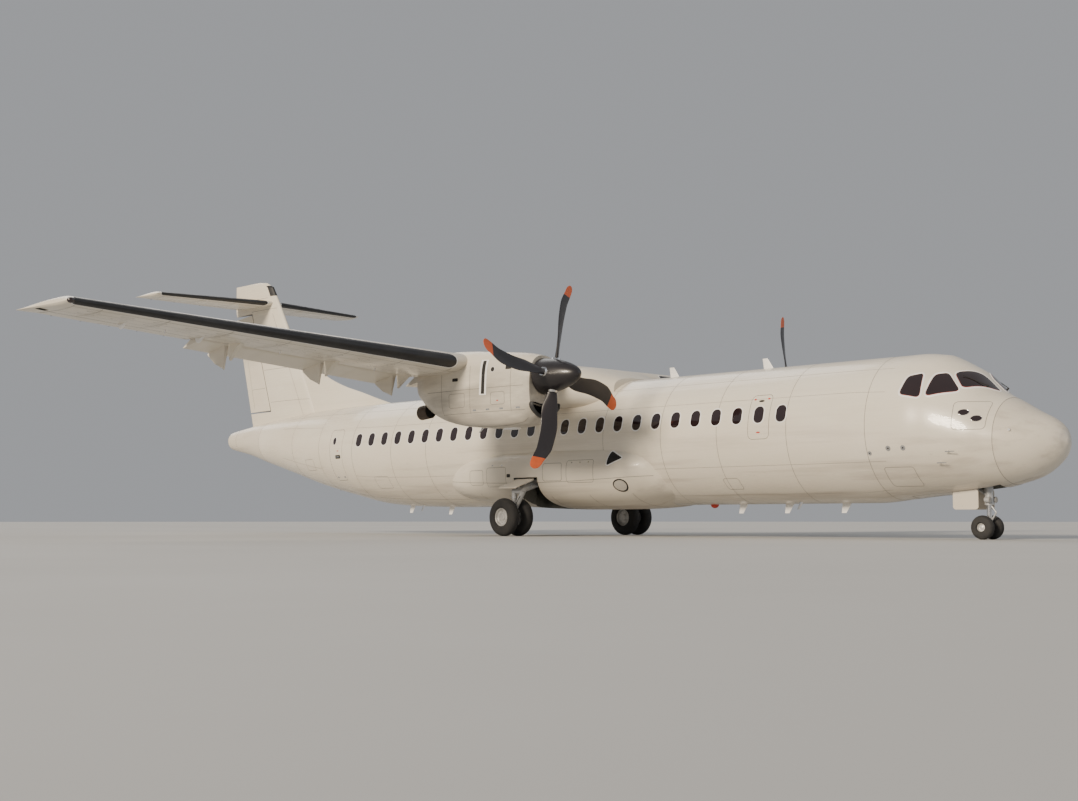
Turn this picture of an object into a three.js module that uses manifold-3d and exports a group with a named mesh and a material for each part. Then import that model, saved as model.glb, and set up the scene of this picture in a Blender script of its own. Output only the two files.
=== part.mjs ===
// A twin-turboprop regional airliner with a high wing and a T-tail, standing on its wheels.
// Millimetres. +X is port, the nose points to -Y, +Z is up. The origin is on the ground,
// midway between the nose and the tail. A station is a distance aft of the nose tip.
import * as THREE from "three";
import { mergeVertices } from "three/addons/utils/BufferGeometryUtils.js";
import Module from "manifold-3d";

const wasm = await Module();
wasm.setup();

// Driving dimensions
const LENGTH = 27170;
const HALF_SPAN = 13525;
const HEIGHT = 7650;
const FUSELAGE_R = 1432.5;
const FUSELAGE_Z = 2130;
const CONTACT_GAP = 0.3;
const MOVING_GAP = 8;

const RADOME_END = 1000;
const NOSE_END = 5150;
const CENTRE_END = 17600;
const REAR_END = 24900;

const WING_LE = 11100;
const WING_CHORD = 2630;
const WING_Z = 3690;
const KINK_X = 4830;
const TIP_LE_X = 13280;
const TIP_LE = 11760;
const TIP_TE = 13320;
const TIP_Z = 4195;
const FLAP_DROP = 15;

const NACELLE_X = 4050;
const THRUST_Z = 3315;
const PROP_R = 1980;
const BLADES = 4;
const PROP_PLANE = 9000;
const SPINNER_TIP = 8270;
const SPINNER_BASE = 9290;

const TAILPLANE_Z = 6930;
const TAILPLANE_HALF = 3655;

const MAIN_AXLE = 12400;
const MAIN_TRACK_X = 2050;
const MAIN_TYRE_R = 432;
const NOSE_AXLE = 1630;
const NOSE_TYRE_R = 225;

// Colours and finishes
const FINISHES = {
  paint: { color: 0xe4ddcf, roughness: 0.35, metalness: 0.1 },
  boot: { color: 0x17171a, roughness: 0.6, metalness: 0.0 },
  blade: { color: 0x1b1a1c, roughness: 0.45, metalness: 0.1 },
  glass: { color: 0x1a1416, roughness: 0.1, metalness: 0.0 },
  steel: { color: 0xa9abad, roughness: 0.35, metalness: 0.8 },
  rim: { color: 0xc9c8c2, roughness: 0.4, metalness: 0.5 },
  tyre: { color: 0x1c1c1d, roughness: 0.9, metalness: 0.0 },
  engine: { color: 0x6e6f71, roughness: 0.5, metalness: 0.7 },
};

const station = (s) => s - LENGTH / 2;
const root = new THREE.Group();
const vector = (x, s, z) => new THREE.Vector3(x, station(s), z);

// Solids: closed geometry in, joined or cut solid out

function solid(geometry) {
  const bare = geometry.clone();
  for (const name of Object.keys(bare.attributes)) {
    if (name !== "position") bare.deleteAttribute(name);
  }
  const merged = mergeVertices(bare, 1e-3);
  return new wasm.Manifold(
    new wasm.Mesh({
      numProp: 3,
      vertProperties: new Float32Array(merged.attributes.position.array),
      triVerts: new Uint32Array(merged.index.array),
    }),
  );
}

function geometryOf(body) {
  const mesh = body.getMesh();
  const flat = new Float32Array(mesh.numVert * 3);
  for (let i = 0; i < mesh.numVert; i++) {
    const at = i * mesh.numProp;
    flat.set(mesh.vertProperties.subarray(at, at + 3), i * 3);
  }
  const geometry = new THREE.BufferGeometry();
  geometry.setAttribute("position", new THREE.BufferAttribute(flat, 3));
  geometry.setIndex(new THREE.BufferAttribute(new Uint32Array(mesh.triVerts), 1));
  const faceted = geometry.toNonIndexed();
  faceted.computeVertexNormals();
  return faceted;
}

function moved(body, matrix) {
  return solid(geometryOf(body).applyMatrix4(matrix));
}

function shifted(body, x, y, z) {
  return moved(body, new THREE.Matrix4().makeTranslation(x, y, z));
}

// The same solid on the other side of the plane of symmetry, its faces turned out again.
function mirrored(body) {
  const geometry = geometryOf(body);
  const p = geometry.attributes.position.array;
  for (let i = 0; i < p.length; i += 9) {
    for (let k = 0; k < 3; k++) {
      const swap = p[i + 3 + k];
      p[i + 3 + k] = p[i + 6 + k];
      p[i + 6 + k] = swap;
    }
    p[i] = -p[i];
    p[i + 3] = -p[i + 3];
    p[i + 6] = -p[i + 6];
  }
  return solid(geometry);
}

const union = (bodies) => bodies.reduce((a, b) => a.add(b));
const largest = (body) => body.decompose().sort((a, b) => b.volume() - a.volume())[0];

// A block between two corners; s is measured in stations.
function block(x0, x1, s0, s1, z0, z1) {
  const geometry = new THREE.BoxGeometry(Math.abs(x1 - x0), Math.abs(s1 - s0), Math.abs(z1 - z0));
  geometry.translate((x0 + x1) / 2, station((s0 + s1) / 2), (z0 + z1) / 2);
  return solid(geometry);
}

// A round rod or cone from point a to point b.
function rod(a, b, ra, rb = ra, sides = 16) {
  const along = b.clone().sub(a);
  const geometry = new THREE.CylinderGeometry(rb, ra, along.length(), sides);
  geometry.applyQuaternion(
    new THREE.Quaternion().setFromUnitVectors(new THREE.Vector3(0, 1, 0), along.clone().normalize()),
  );
  geometry.translate((a.x + b.x) / 2, (a.y + b.y) / 2, (a.z + b.z) / 2);
  return solid(geometry);
}

// An outline of [x, s] points carried straight up from z0 to z1.
function uprightPrism(outline, z0, z1) {
  const shape = new THREE.Shape(outline.map(([x, s]) => new THREE.Vector2(x, station(s))));
  const geometry = new THREE.ExtrudeGeometry(shape, { depth: z1 - z0, bevelEnabled: false });
  geometry.translate(0, 0, z0);
  return solid(geometry);
}

// An outline of [s, z] points carried across from x0 to x1.
function sidePrism(outline, x0, x1) {
  const shape = new THREE.Shape(outline.map(([s, z]) => new THREE.Vector2(station(s), z)));
  const geometry = new THREE.ExtrudeGeometry(shape, { depth: x1 - x0, bevelEnabled: false });
  // The shape's own axes are Y and Z, and its depth runs along X.
  geometry.applyMatrix4(new THREE.Matrix4().set(0, 0, 1, x0, 1, 0, 0, 0, 0, 1, 0, 0, 0, 0, 0, 1));
  return solid(geometry);
}

// A closed profile of [radius, along] points turned about a line parallel to X or Y, its first
// edge at an angle round that line.
function turned(profile, centre, axis, sides, first = 0) {
  const points = profile.map(([r, h]) => new THREE.Vector2(r, h));
  const geometry = new THREE.LatheGeometry(points, sides, first);
  const direction = axis === "x" ? new THREE.Vector3(1, 0, 0) : new THREE.Vector3(0, 1, 0);
  geometry.applyQuaternion(
    new THREE.Quaternion().setFromUnitVectors(new THREE.Vector3(0, 1, 0), direction),
  );
  geometry.translate(centre.x, centre.y, centre.z);
  const made = solid(geometry);
  return made.volume() > 0 ? made : solid(flipped(geometry));
}

function flipped(geometry) {
  const turnedRound = geometry.clone();
  const index = turnedRound.index.array;
  for (let i = 0; i < index.length; i += 3) {
    [index[i + 1], index[i + 2]] = [index[i + 2], index[i + 1]];
  }
  return turnedRound;
}

// Rings of equal count joined by quads, each end closed by a fan about its middle.
function loft(rings) {
  const count = rings[0].length;
  const points = rings.flat();
  const faces = [];
  for (let r = 0; r < rings.length - 1; r++) {
    for (let i = 0; i < count; i++) {
      const a = r * count + i;
      const b = r * count + ((i + 1) % count);
      faces.push(a, b, a + count, b, b + count, a + count);
    }
  }
  const fan = (first, reversed) => {
    const middle = new THREE.Vector3();
    for (let i = 0; i < count; i++) middle.add(points[first + i]);
    const centre = points.push(middle.divideScalar(count)) - 1;
    for (let i = 0; i < count; i++) {
      const next = first + ((i + 1) % count);
      if (reversed) faces.push(centre, next, first + i);
      else faces.push(centre, first + i, next);
    }
  };
  fan(0, true);
  fan((rings.length - 1) * count, false);
  const geometry = new THREE.BufferGeometry().setFromPoints(points);
  geometry.setIndex(faces);
  const made = solid(geometry);
  return made.volume() > 0 ? made : solid(flipped(geometry));
}

// A ring across the body: half width, height above and depth below the widest level.
// Power 2 is an ellipse, and a higher power is boxier.
function bodyRing(x, s, halfWidth, zMid, up, down, sides, power = 2) {
  const ring = [];
  for (let i = 0; i < sides; i++) {
    const t = (2 * Math.PI * i) / sides;
    const c = Math.cos(t);
    const v = Math.sin(t);
    const rx = halfWidth * Math.sign(c) * Math.abs(c) ** (2 / power);
    const rz = (v > 0 ? up : down) * Math.sign(v) * Math.abs(v) ** (2 / power);
    ring.push(vector(x + rx, s, zMid + rz));
  }
  return ring;
}

// Each mesh of the model

function add(name, body, finish, parent = root) {
  const mesh = new THREE.Mesh(geometryOf(body), new THREE.MeshStandardMaterial(FINISHES[finish]));
  mesh.name = name;
  parent.add(mesh);
  return mesh;
}

// A port piece and its starboard twin.
function addPair(name, body, finish) {
  add(name + "_left", body, finish);
  add(name + "_right", mirrored(body), finish);
}

// Fuselage

// Columns: station, half width, widest level, height above it, depth below it
const FUSELAGE_RINGS = [
  [0, 60, 1775, 55, 55],
  [70, 258, 1775, 255, 245],
  [220, 448, 1780, 395, 420],
  [520, 688, 1765, 575, 605],
  [1000, 930, 1800, 820, 790],
  [1200, 1005, 1825, 905, 865],
  [1420, 1085, 1850, 1090, 925],
  [1650, 1150, 1885, 1285, 985],
  [1800, 1190, 1910, 1350, 1025],
  [2150, 1270, 1970, 1480, 1115],
  [2300, 1295, 1990, 1520, 1150],
  [2600, 1350, 2035, 1520, 1215],
  [3200, 1405, 2090, 1472, 1330],
  [3900, FUSELAGE_R, FUSELAGE_Z, FUSELAGE_R, FUSELAGE_R],
  [16000, FUSELAGE_R, FUSELAGE_Z, FUSELAGE_R, FUSELAGE_R],
  [17600, 1431, 2135, 1425, 1412],
  [19000, 1412, 2170, 1388, 1375],
  [20500, 1300, 2290, 1260, 1250],
  [22000, 1110, 2440, 1080, 1105],
  [23500, 865, 2600, 840, 895],
  [24900, 615, 2710, 620, 668],
  [26100, 400, 2785, 415, 438],
  [26900, 290, 2808, 300, 310],
  [27090, 262, 2810, 268, 272],
  [27150, 215, 2810, 220, 222],
  [27170, 150, 2810, 150, 150],
];
const FUSELAGE_SIDES = 36;

// The fuselage between two stations, drawn in by a depth all round.
function fuselageBetween(s0, s1, inset = 0) {
  const at = (s) => {
    const next = Math.max(1, FUSELAGE_RINGS.findIndex((ring) => ring[0] >= s));
    const [a, b] = [FUSELAGE_RINGS[next - 1], FUSELAGE_RINGS[next]];
    const t = (s - a[0]) / (b[0] - a[0]);
    return a.map((value, i) => value + (b[i] - value) * t);
  };
  const inside = FUSELAGE_RINGS.filter((ring) => ring[0] > s0 + 1 && ring[0] < s1 - 1);
  const rows = [at(s0), ...inside, at(s1)];
  return loft(
    rows.map(([s, halfWidth, zMid, up, down]) =>
      bodyRing(0, s, halfWidth - inset, zMid, up - inset, down - inset, FUSELAGE_SIDES),
    ),
  );
}

// Half width of the fuselage at a station and a height.
function fuselageHalfWidth(s, z) {
  const next = FUSELAGE_RINGS.findIndex((ring) => ring[0] >= s);
  const [a, b] = [FUSELAGE_RINGS[next - 1], FUSELAGE_RINGS[next]];
  const t = (s - a[0]) / (b[0] - a[0]);
  const [, halfWidth, zMid, up, down] = a.map((value, i) => value + (b[i] - value) * t);
  const reach = (z - zMid) / (z > zMid ? up : down);
  return halfWidth * Math.sqrt(1 - reach * reach);
}

// Doors and hatches: first and last station, sill, top, side (+1 port), depth of the entrance
// behind it, and the cut of its lower corners
const DOOR_THICK = 70;
const VESTIBULE = 900;
const DOORS = {
  cargo_door: { s0: 3780, s1: 5055, z0: 1350, z1: 2880, side: 1, recess: VESTIBULE, footCorner: 90 },
  passenger_door: { s0: 19720, s1: 20540, z0: 1330, z1: 3080, side: 1, recess: VESTIBULE, footCorner: 25 },
  service_door: { s0: 19790, s1: 20400, z0: 1450, z1: 2800, side: -1, recess: 0, footCorner: 90 },
  emergency_exit_left: { s0: 5575, s1: 6085, z0: 1990, z1: 2880, side: 1, recess: 0, footCorner: 90 },
  emergency_exit_right: { s0: 5575, s1: 6085, z0: 1990, z1: 2880, side: -1, recess: 0, footCorner: 90 },
};

// A doorway's outline on the fuselage side, its corners cut off, as a body through the side.
function doorway(door, grow) {
  const corner = 90;
  const foot = door.footCorner;
  const [s0, s1, z0, z1] = [door.s0 - grow, door.s1 + grow, door.z0 - grow, door.z1 + grow];
  const outline = [
    [s0 + foot, z0],
    [s1 - foot, z0],
    [s1, z0 + foot],
    [s1, z1 - corner],
    [s1 - corner, z1],
    [s0 + corner, z1],
    [s0, z1 - corner],
    [s0, z0 + foot],
  ];
  const far = 2 * FUSELAGE_R;
  return door.side > 0 ? sidePrism(outline, 0, far) : sidePrism(outline, -far, 0);
}

function doorPanel(door) {
  const [s0, s1] = [door.s0 - 200, door.s1 + 200];
  const skin = fuselageBetween(s0, s1).subtract(fuselageBetween(s0 - 10, s1 + 10, DOOR_THICK));
  return skin.intersect(doorway(door, 0));
}

// What a door takes out of the fuselage: its own thickness, and the entrance behind it.
function doorPocket(door) {
  const [s0, s1] = [door.s0 - 200, door.s1 + 200];
  const inner = fuselageBetween(s0 - 10, s1 + 10, DOOR_THICK + MOVING_GAP);
  const pocket = fuselageBetween(s0, s1, -50).subtract(inner).intersect(doorway(door, MOVING_GAP));
  if (!door.recess) return pocket;
  const near = fuselageHalfWidth(door.s0, door.z1) - 200;
  const room = block(
    door.side * (near - door.recess),
    door.side * 2 * FUSELAGE_R,
    door.s0 - 50,
    door.s1 + 50,
    door.z0 + 15,
    door.z1 + 50,
  );
  return pocket.add(room.intersect(doorway(door, MOVING_GAP)));
}

// Cockpit glazing: three panes a side and their frame, in a recess of the nose.
// Columns of its outline seen from the side: station, height
const GLAZING = [
  [1185, 2720],
  [1600, 2690],
  [2250, 2615],
  [2720, 2695],
  [2640, 3050],
  [2350, 3090],
  [1900, 3060],
  [1500, 3010],
];
const GLASS_THICK = 25;
const CENTRE_POST = 45;

function glazing(grow) {
  const thick = GLASS_THICK + grow;
  const skin = fuselageBetween(1050, 2900, -10 * grow).subtract(fuselageBetween(1040, 2910, thick));
  const outline = sidePrism(GLAZING, CENTRE_POST - grow, FUSELAGE_R + 50);
  const shifts = [[0, grow], [0, -grow], [grow, 0], [-grow, 0]];
  const room = grow > 0 ? union(shifts.map(([y, z]) => shifted(outline, 0, y, z))) : outline;
  return skin.intersect(room);
}

// Nose wheel bay: half width, first and last station, roof level
const NOSE_BAY = { halfWidth: 330, s0: 1180, s1: 2180, roof: 1260 };

// Main wheel bays: wheel circle and leg slot
const WHEEL_BAY = { x: 545, r: 500, roof: 1180 };
const LEG_BAY = { x0: 545, x1: 1950, s0: 11930, s1: 12720, roof: 1345 };

function mainBays() {
  const port = union([
    rod(
      vector(WHEEL_BAY.x, MAIN_AXLE, 300),
      vector(WHEEL_BAY.x, MAIN_AXLE, WHEEL_BAY.roof),
      WHEEL_BAY.r,
      WHEEL_BAY.r,
      28,
    ),
    block(LEG_BAY.x0, LEG_BAY.x1, LEG_BAY.s0, LEG_BAY.s1, 300, LEG_BAY.roof),
  ]);
  return port.add(mirrored(port));
}

const bays = mainBays();

function buildFuselage() {
  add("radome", fuselageBetween(0, RADOME_END - CONTACT_GAP), "paint");

  const { halfWidth, s0, s1, roof } = NOSE_BAY;
  const noseBay = block(-halfWidth, halfWidth, s0, s1, 400, roof);
  const nose = fuselageBetween(RADOME_END, NOSE_END - CONTACT_GAP)
    .subtract(noseBay)
    .subtract(doorPocket(DOORS.cargo_door))
    .subtract(glazing(CONTACT_GAP))
    .subtract(mirrored(glazing(CONTACT_GAP)));
  add("nose_fuselage", largest(nose), "paint");
  addPair("cockpit_glazing", glazing(0), "glass");

  const centre = fuselageBetween(NOSE_END, CENTRE_END - CONTACT_GAP)
    .subtract(doorPocket(DOORS.emergency_exit_left))
    .subtract(doorPocket(DOORS.emergency_exit_right))
    .subtract(bays)
    .subtract(wingRoom());
  add("centre_fuselage", centre, "paint");

  const rear = fuselageBetween(CENTRE_END, REAR_END - CONTACT_GAP)
    .subtract(doorPocket(DOORS.passenger_door))
    .subtract(doorPocket(DOORS.service_door));
  add("rear_fuselage", rear, "paint");
  add("tail_cone", fuselageBetween(REAR_END, LENGTH), "paint");

  for (const [name, door] of Object.entries(DOORS)) add(name, doorPanel(door), "paint");
}

// Belly fairing. Columns: station, half width, widest level, height above it, depth below it
const BELLY_RINGS = [
  [8450, 950, 1400, 520, 560],
  [8800, 1330, 1430, 620, 650],
  [9300, 1550, 1440, 680, 785],
  [10200, 1655, 1450, 720, 835],
  [11500, 1690, 1450, 740, 840],
  [13200, 1670, 1450, 730, 790],
  [14400, 1540, 1440, 680, 690],
  [15300, 1260, 1420, 590, 570],
  [15900, 900, 1400, 480, 480],
];

function buildBelly() {
  const outer = loft(
    BELLY_RINGS.map(([s, halfWidth, zMid, up, down]) =>
      bodyRing(0, s, halfWidth, zMid, up, down, 32, 2.5),
    ),
  );
  const body = outer
    .subtract(fuselageBetween(8000, 16000, -CONTACT_GAP))
    .subtract(bays);
  add("belly_fairing", body, "paint");
}

// Wing

const AEROFOIL_STEPS = 10;

// A closed section: [fraction of chord, height over chord], upper surface from the tail first.
function aerofoil(thickness, camber) {
  const camberAt = (f) =>
    f < 0.4 ? (camber / 0.16) * (0.8 * f - f * f) : (camber / 0.36) * (0.2 + 0.8 * f - f * f);
  const halfAt = (f) =>
    5 *
    thickness *
    (0.2969 * Math.sqrt(f) - 0.126 * f - 0.3516 * f ** 2 + 0.2843 * f ** 3 - 0.1015 * f ** 4);
  const upper = [];
  const lower = [];
  for (let i = 0; i <= AEROFOIL_STEPS; i++) {
    const f = 0.5 * (1 - Math.cos((Math.PI * i) / AEROFOIL_STEPS));
    upper.unshift([f, camberAt(f) + halfAt(f)]);
    if (i > 0) lower.push([f, camberAt(f) - halfAt(f)]);
  }
  return [...upper, ...lower];
}

// A wing section at a place across the span. The tip's trailing edge lies further out by rake.
function wingRing(x, le, te, z, thickness, { camber = 0.018, incidence = 2, rake = 0, scale = 1 } = {}) {
  const chord = te - le;
  const tilt = Math.tan(THREE.MathUtils.degToRad(incidence));
  return aerofoil(thickness, camber).map(([f, h]) =>
    vector(x + rake * f, le + f * chord, z + (0.25 - f) * chord * tilt + h * scale * chord),
  );
}

// The port wing's leading and trailing edge, height and thickness at a place across the span.
function wingAt(x) {
  const t = Math.max(0, (x - KINK_X) / (TIP_LE_X - KINK_X));
  const rootTe = WING_LE + WING_CHORD;
  return {
    le: WING_LE + (TIP_LE - WING_LE) * t,
    te: rootTe + (TIP_TE - rootTe) * t,
    z: WING_Z + (TIP_Z - WING_Z) * t,
    thickness: 0.18 - 0.05 * t,
  };
}

// A point on the wing's mean line at a place across the span and a fraction of the chord.
function wingPoint(x, fraction) {
  const { le, te, z, thickness } = wingAt(x);
  const ring = wingRing(x, le, te, z, thickness);
  const last = ring.length - 1;
  const chord = te - le;
  const heights = [ring.slice(0, AEROFOIL_STEPS + 1), ring.slice(AEROFOIL_STEPS, last + 1)].map((side) => {
    const s = station(le + fraction * chord);
    for (let i = 0; i < side.length - 1; i++) {
      const [a, b] = [side[i], side[i + 1]];
      if ((a.y - s) * (b.y - s) <= 0 && a.y !== b.y) {
        return a.z + ((b.z - a.z) * (s - a.y)) / (b.y - a.y);
      }
    }
    return z;
  });
  return {
    point: vector(x, le + fraction * chord, (heights[0] + heights[1]) / 2),
    half: (heights[0] - heights[1]) / 2,
    top: heights[0],
    bottom: heights[1],
  };
}

function wholeOuterWing() {
  const inner = wingAt(KINK_X);
  const tip = wingAt(TIP_LE_X);
  const rake = HALF_SPAN - TIP_LE_X;
  const ring = (x, at, options) => wingRing(x, at.le, at.te, at.z, at.thickness, options);
  return loft([
    ring(KINK_X + CONTACT_GAP, inner),
    ring(AILERON.x1 + 10, wingAt(AILERON.x1 + 10)),
    ring(TIP_LE_X - 90, wingAt(TIP_LE_X - 90), { rake: rake * 0.9 }),
    ring(TIP_LE_X - 25, tip, { rake, scale: 0.8 }),
    ring(TIP_LE_X, tip, { rake, scale: 0.25 }),
  ]);
}

function wholeCentreWing() {
  const at = wingAt(0);
  const ring = (x) => wingRing(x, at.le, at.te, at.z, at.thickness);
  return loft([ring(-KINK_X), ring(KINK_X)]);
}

// The centre wing's solid with the contact gap above and below it.
function wingRoom() {
  const wing = wholeCentreWing();
  const g = CONTACT_GAP;
  const shifts = [[0, g], [0, -g], [g, 0], [-g, 0]];
  return union([wing, ...shifts.map(([y, z]) => shifted(wing, 0, y, z))]);
}

// An upright prism over the span between a and b, from fore to aft of the line through them.
function alongHinge(a, b, grow, fore, aft) {
  const slope = (b.y - a.y) / (b.x - a.x);
  const half = LENGTH / 2;
  const [x0, x1] = [a.x - grow, b.x + grow];
  const [s0, s1] = [x0, x1].map((x) => a.y + (x - a.x) * slope + half);
  const outline = [
    [x0, s0 - fore],
    [x1, s1 - fore],
    [x1, s1 + aft],
    [x0, s0 + aft],
  ];
  return uprightPrism(outline, 0, 9000);
}

// Cuts a control surface out of a wing along the hinge line from a to b. Its nose is round
// about that line, with the section's own half thickness at each end as the radius.
function splitSurface(whole, a, b, halfA, halfB, gap = 10, endGap = 20) {
  const along = b.clone().sub(a).normalize();
  const nose = rod(
    a.clone().addScaledVector(along, -100),
    b.clone().addScaledVector(along, 100),
    halfA,
    halfB,
    20,
  );
  const cove = rod(
    a.clone().addScaledVector(along, -100),
    b.clone().addScaledVector(along, 100),
    halfA + gap,
    halfB + gap,
    20,
  ).intersect(alongHinge(a, b, gap, 400, 400));
  const surface = whole.intersect(
    alongHinge(a, b, -endGap, 0, 3000).add(nose.intersect(alongHinge(a, b, -endGap, 400, 400))),
  );
  const fixed = whole.subtract(alongHinge(a, b, gap, 2 * gap, 3000).add(cove));
  return { surface, fixed, cove };
}

// Columns: name, inner end, outer end, hinge fraction of the chord, axis depth below the wing
const FLAPS = {
  flap_inner: { x0: 1450, x1: 4020, fraction: 0.72, depth: 600 },
  flap_outer: { x0: 4870, x1: 9930, fraction: 0.72, depth: 560 },
};
const AILERON = { x0: 9990, x1: 13120, fraction: 0.72 };
const SPOILER = { x0: 7000, x1: 8700, f0: 0.52, f1: 0.695, thick: 28 };

export const hinges = {};

function noteHinge(name, point, direction) {
  hinges[name] = { point, direction };
}

// A surface turned about its hinge line by an angle, as a mesh inside a group on that line.
function addTurned(name, body, finish, pivot, direction, degrees) {
  const group = new THREE.Group();
  group.position.copy(pivot);
  group.quaternion.setFromAxisAngle(direction, THREE.MathUtils.degToRad(degrees));
  const mesh = add(name, shifted(body, -pivot.x, -pivot.y, -pivot.z), finish, group);
  root.add(group);
  noteHinge(name, pivot, direction);
  return mesh;
}

// Flap fairings hang below the wing in two halves that part at the flap's axis.
const FAIRING_X = [4930, 6900, 9250];

function fairingHalves(x) {
  const at = wingPoint(x, 0.72);
  const s = at.point.y + LENGTH / 2;
  const low = at.point.z - 560;
  const fixed = sidePrism(
    [
      [s - 480, at.bottom + 40],
      [s + 150, low - 10],
      [s + 185, low + 20],
      [s - 30, at.bottom + 20],
      [s - 60, at.bottom + 60],
      [s - 480, at.bottom + 60],
    ],
    x - 45,
    x + 45,
  );
  const moving = sidePrism(
    [
      [s + 205, low + 25],
      [s + 620, at.bottom - 10],
      [s + 640, at.bottom + 60],
      [s + 40, at.bottom + 60],
      [s - 5, at.bottom + 20],
    ],
    x - 40,
    x + 40,
  );
  return { fixed, moving };
}

function buildWing() {
  let outer = wholeOuterWing();
  let centre = wholeCentreWing();

  const aileronIn = wingPoint(AILERON.x0, AILERON.fraction);
  const aileronOut = wingPoint(AILERON.x1, AILERON.fraction);
  const aileron = splitSurface(outer, aileronIn.point, aileronOut.point, aileronIn.half, aileronOut.half);
  outer = aileron.fixed;
  addHingedPair("aileron", aileron.surface, aileronIn.point, aileronOut.point);

  const aboveSpoiler = (grow, thick, from) => {
    const [a, b] = [wingAt(SPOILER.x0), wingAt(SPOILER.x1)];
    const s = (at, f, extra) => at.le + (at.te - at.le) * f + extra;
    const plan = uprightPrism(
      [
        [SPOILER.x0 - grow, s(a, SPOILER.f0, -grow)],
        [SPOILER.x1 + grow, s(b, SPOILER.f0, -grow)],
        [SPOILER.x1 + grow, s(b, SPOILER.f1, grow)],
        [SPOILER.x0 - grow, s(a, SPOILER.f1, grow)],
      ],
      WING_Z,
      9000,
    );
    return plan.subtract(shifted(from, 0, 0, -thick));
  };
  const spoiler = outer.intersect(aboveSpoiler(0, SPOILER.thick, outer));
  outer = outer.subtract(aboveSpoiler(2 * MOVING_GAP, SPOILER.thick + MOVING_GAP, outer));
  const spoilerIn = wingPoint(SPOILER.x0, SPOILER.f0);
  const spoilerOut = wingPoint(SPOILER.x1, SPOILER.f0);
  addHingedPair(
    "spoiler",
    spoiler,
    new THREE.Vector3(spoilerIn.point.x, spoilerIn.point.y, spoilerIn.top),
    new THREE.Vector3(spoilerOut.point.x, spoilerOut.point.y, spoilerOut.top),
  );

  for (const [name, flap] of Object.entries(FLAPS)) {
    const isInner = flap.x1 < KINK_X;
    const a = wingPoint(flap.x0, flap.fraction);
    const b = wingPoint(flap.x1, flap.fraction);
    const cut = splitSurface(isInner ? centre : outer, a.point, b.point, a.half, b.half);
    let panel = cut.surface;
    if (isInner) {
      centre = cut.fixed;
      const other = splitSurface(mirrored(centre), a.point, b.point, a.half, b.half);
      centre = mirrored(other.fixed);
    } else {
      outer = cut.fixed;
    }
    for (const x of FAIRING_X.filter((at) => at > flap.x0 && at < flap.x1)) {
      const halves = fairingHalves(x);
      panel = panel.add(halves.moving);
      outer = outer.add(halves.fixed.subtract(cut.cove));
    }
    const down = new THREE.Vector3(0, 0, -flap.depth);
    addHingedPair(name, panel, a.point.clone().add(down), b.point.clone().add(down), -FLAP_DROP);
  }

  addPair("wing_outer", outer, "paint");
  add("wing_centre", centre, "paint");
}

// A port surface and its twin, each on its own hinge line. The angle is positive upwards.
function addHingedPair(name, body, inner, outer, degrees = 0) {
  const along = outer.clone().sub(inner).normalize();
  addTurned(name + "_left", body, "paint", inner, along, degrees);
  const flip = (v) => new THREE.Vector3(-v.x, v.y, v.z);
  const back = flip(along).negate();
  addTurned(name + "_right", mirrored(body), "paint", flip(inner), back, degrees);
}

// Wing root fairing. Columns: station, half width, top level, bottom level
const ROOT_FAIRING_RINGS = [
  [10250, 900, 3600, 2900],
  [10650, 1230, 3740, 2860],
  [11100, 1490, 3880, 2840],
  [11900, 1540, 3970, 2830],
  [12600, 1460, 3930, 2830],
  [12820, 1400, 3900, 2830],
  [13900, 1320, 3700, 2860],
  [15000, 950, 3580, 2950],
  [15700, 600, 3550, 3150],
];

function buildRootFairing() {
  const outer = loft(
    ROOT_FAIRING_RINGS.map(([s, halfWidth, top, bottom]) => {
      const zMid = (top + bottom) / 2;
      return bodyRing(0, s, halfWidth, zMid, top - zMid, zMid - bottom, 28, 3.2);
    }),
  );
  const body = outer.subtract(fuselageBetween(9800, 16400, -CONTACT_GAP)).subtract(wingRoom());
  add("wing_root_fairing", body, "paint");
}

// Nacelles. Columns: station, half width, top level, bottom level, power of the section
const NACELLE_RINGS = [
  [9310, 420, 3750, 2440, 2.6],
  [9620, 490, 3820, 2310, 3.0],
  [10400, 540, 3900, 2290, 3.6],
  [11300, 555, 3980, 2350, 3.8],
  [12000, 545, 4010, 2480, 3.4],
  [12500, 500, 3900, 2680, 3.0],
  [12860, 430, 3780, 2950, 2.6],
];
const COWL_END = 11000;
const NACELLE_SIDES = 28;

function nacelleBetween(s0, s1, inset = 0) {
  const at = (s) => {
    const next = Math.max(1, NACELLE_RINGS.findIndex((ring) => ring[0] >= s));
    const [a, b] = [NACELLE_RINGS[next - 1], NACELLE_RINGS[next]];
    const t = (s - a[0]) / (b[0] - a[0]);
    return a.map((value, i) => value + (b[i] - value) * t);
  };
  const inside = NACELLE_RINGS.filter((ring) => ring[0] > s0 + 1 && ring[0] < s1 - 1);
  return loft(
    [at(s0), ...inside, at(s1)].map(([s, halfWidth, top, bottom, power]) => {
      const zMid = (top + bottom) / 2;
      const half = (top - bottom) / 2 - inset;
      return bodyRing(NACELLE_X, s, halfWidth - inset, zMid, half, half, NACELLE_SIDES, power);
    }),
  );
}

// The engine: a block for its heavy core, from the gearbox to the turbine
const ENGINE = { halfWidth: 330, s0: 9640, s1: 10960, z0: 2800, z1: 3680 };
const INTAKE = { halfWidth: 330, zMid: 2670, halfHeight: 170, depth: 400 };

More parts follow.
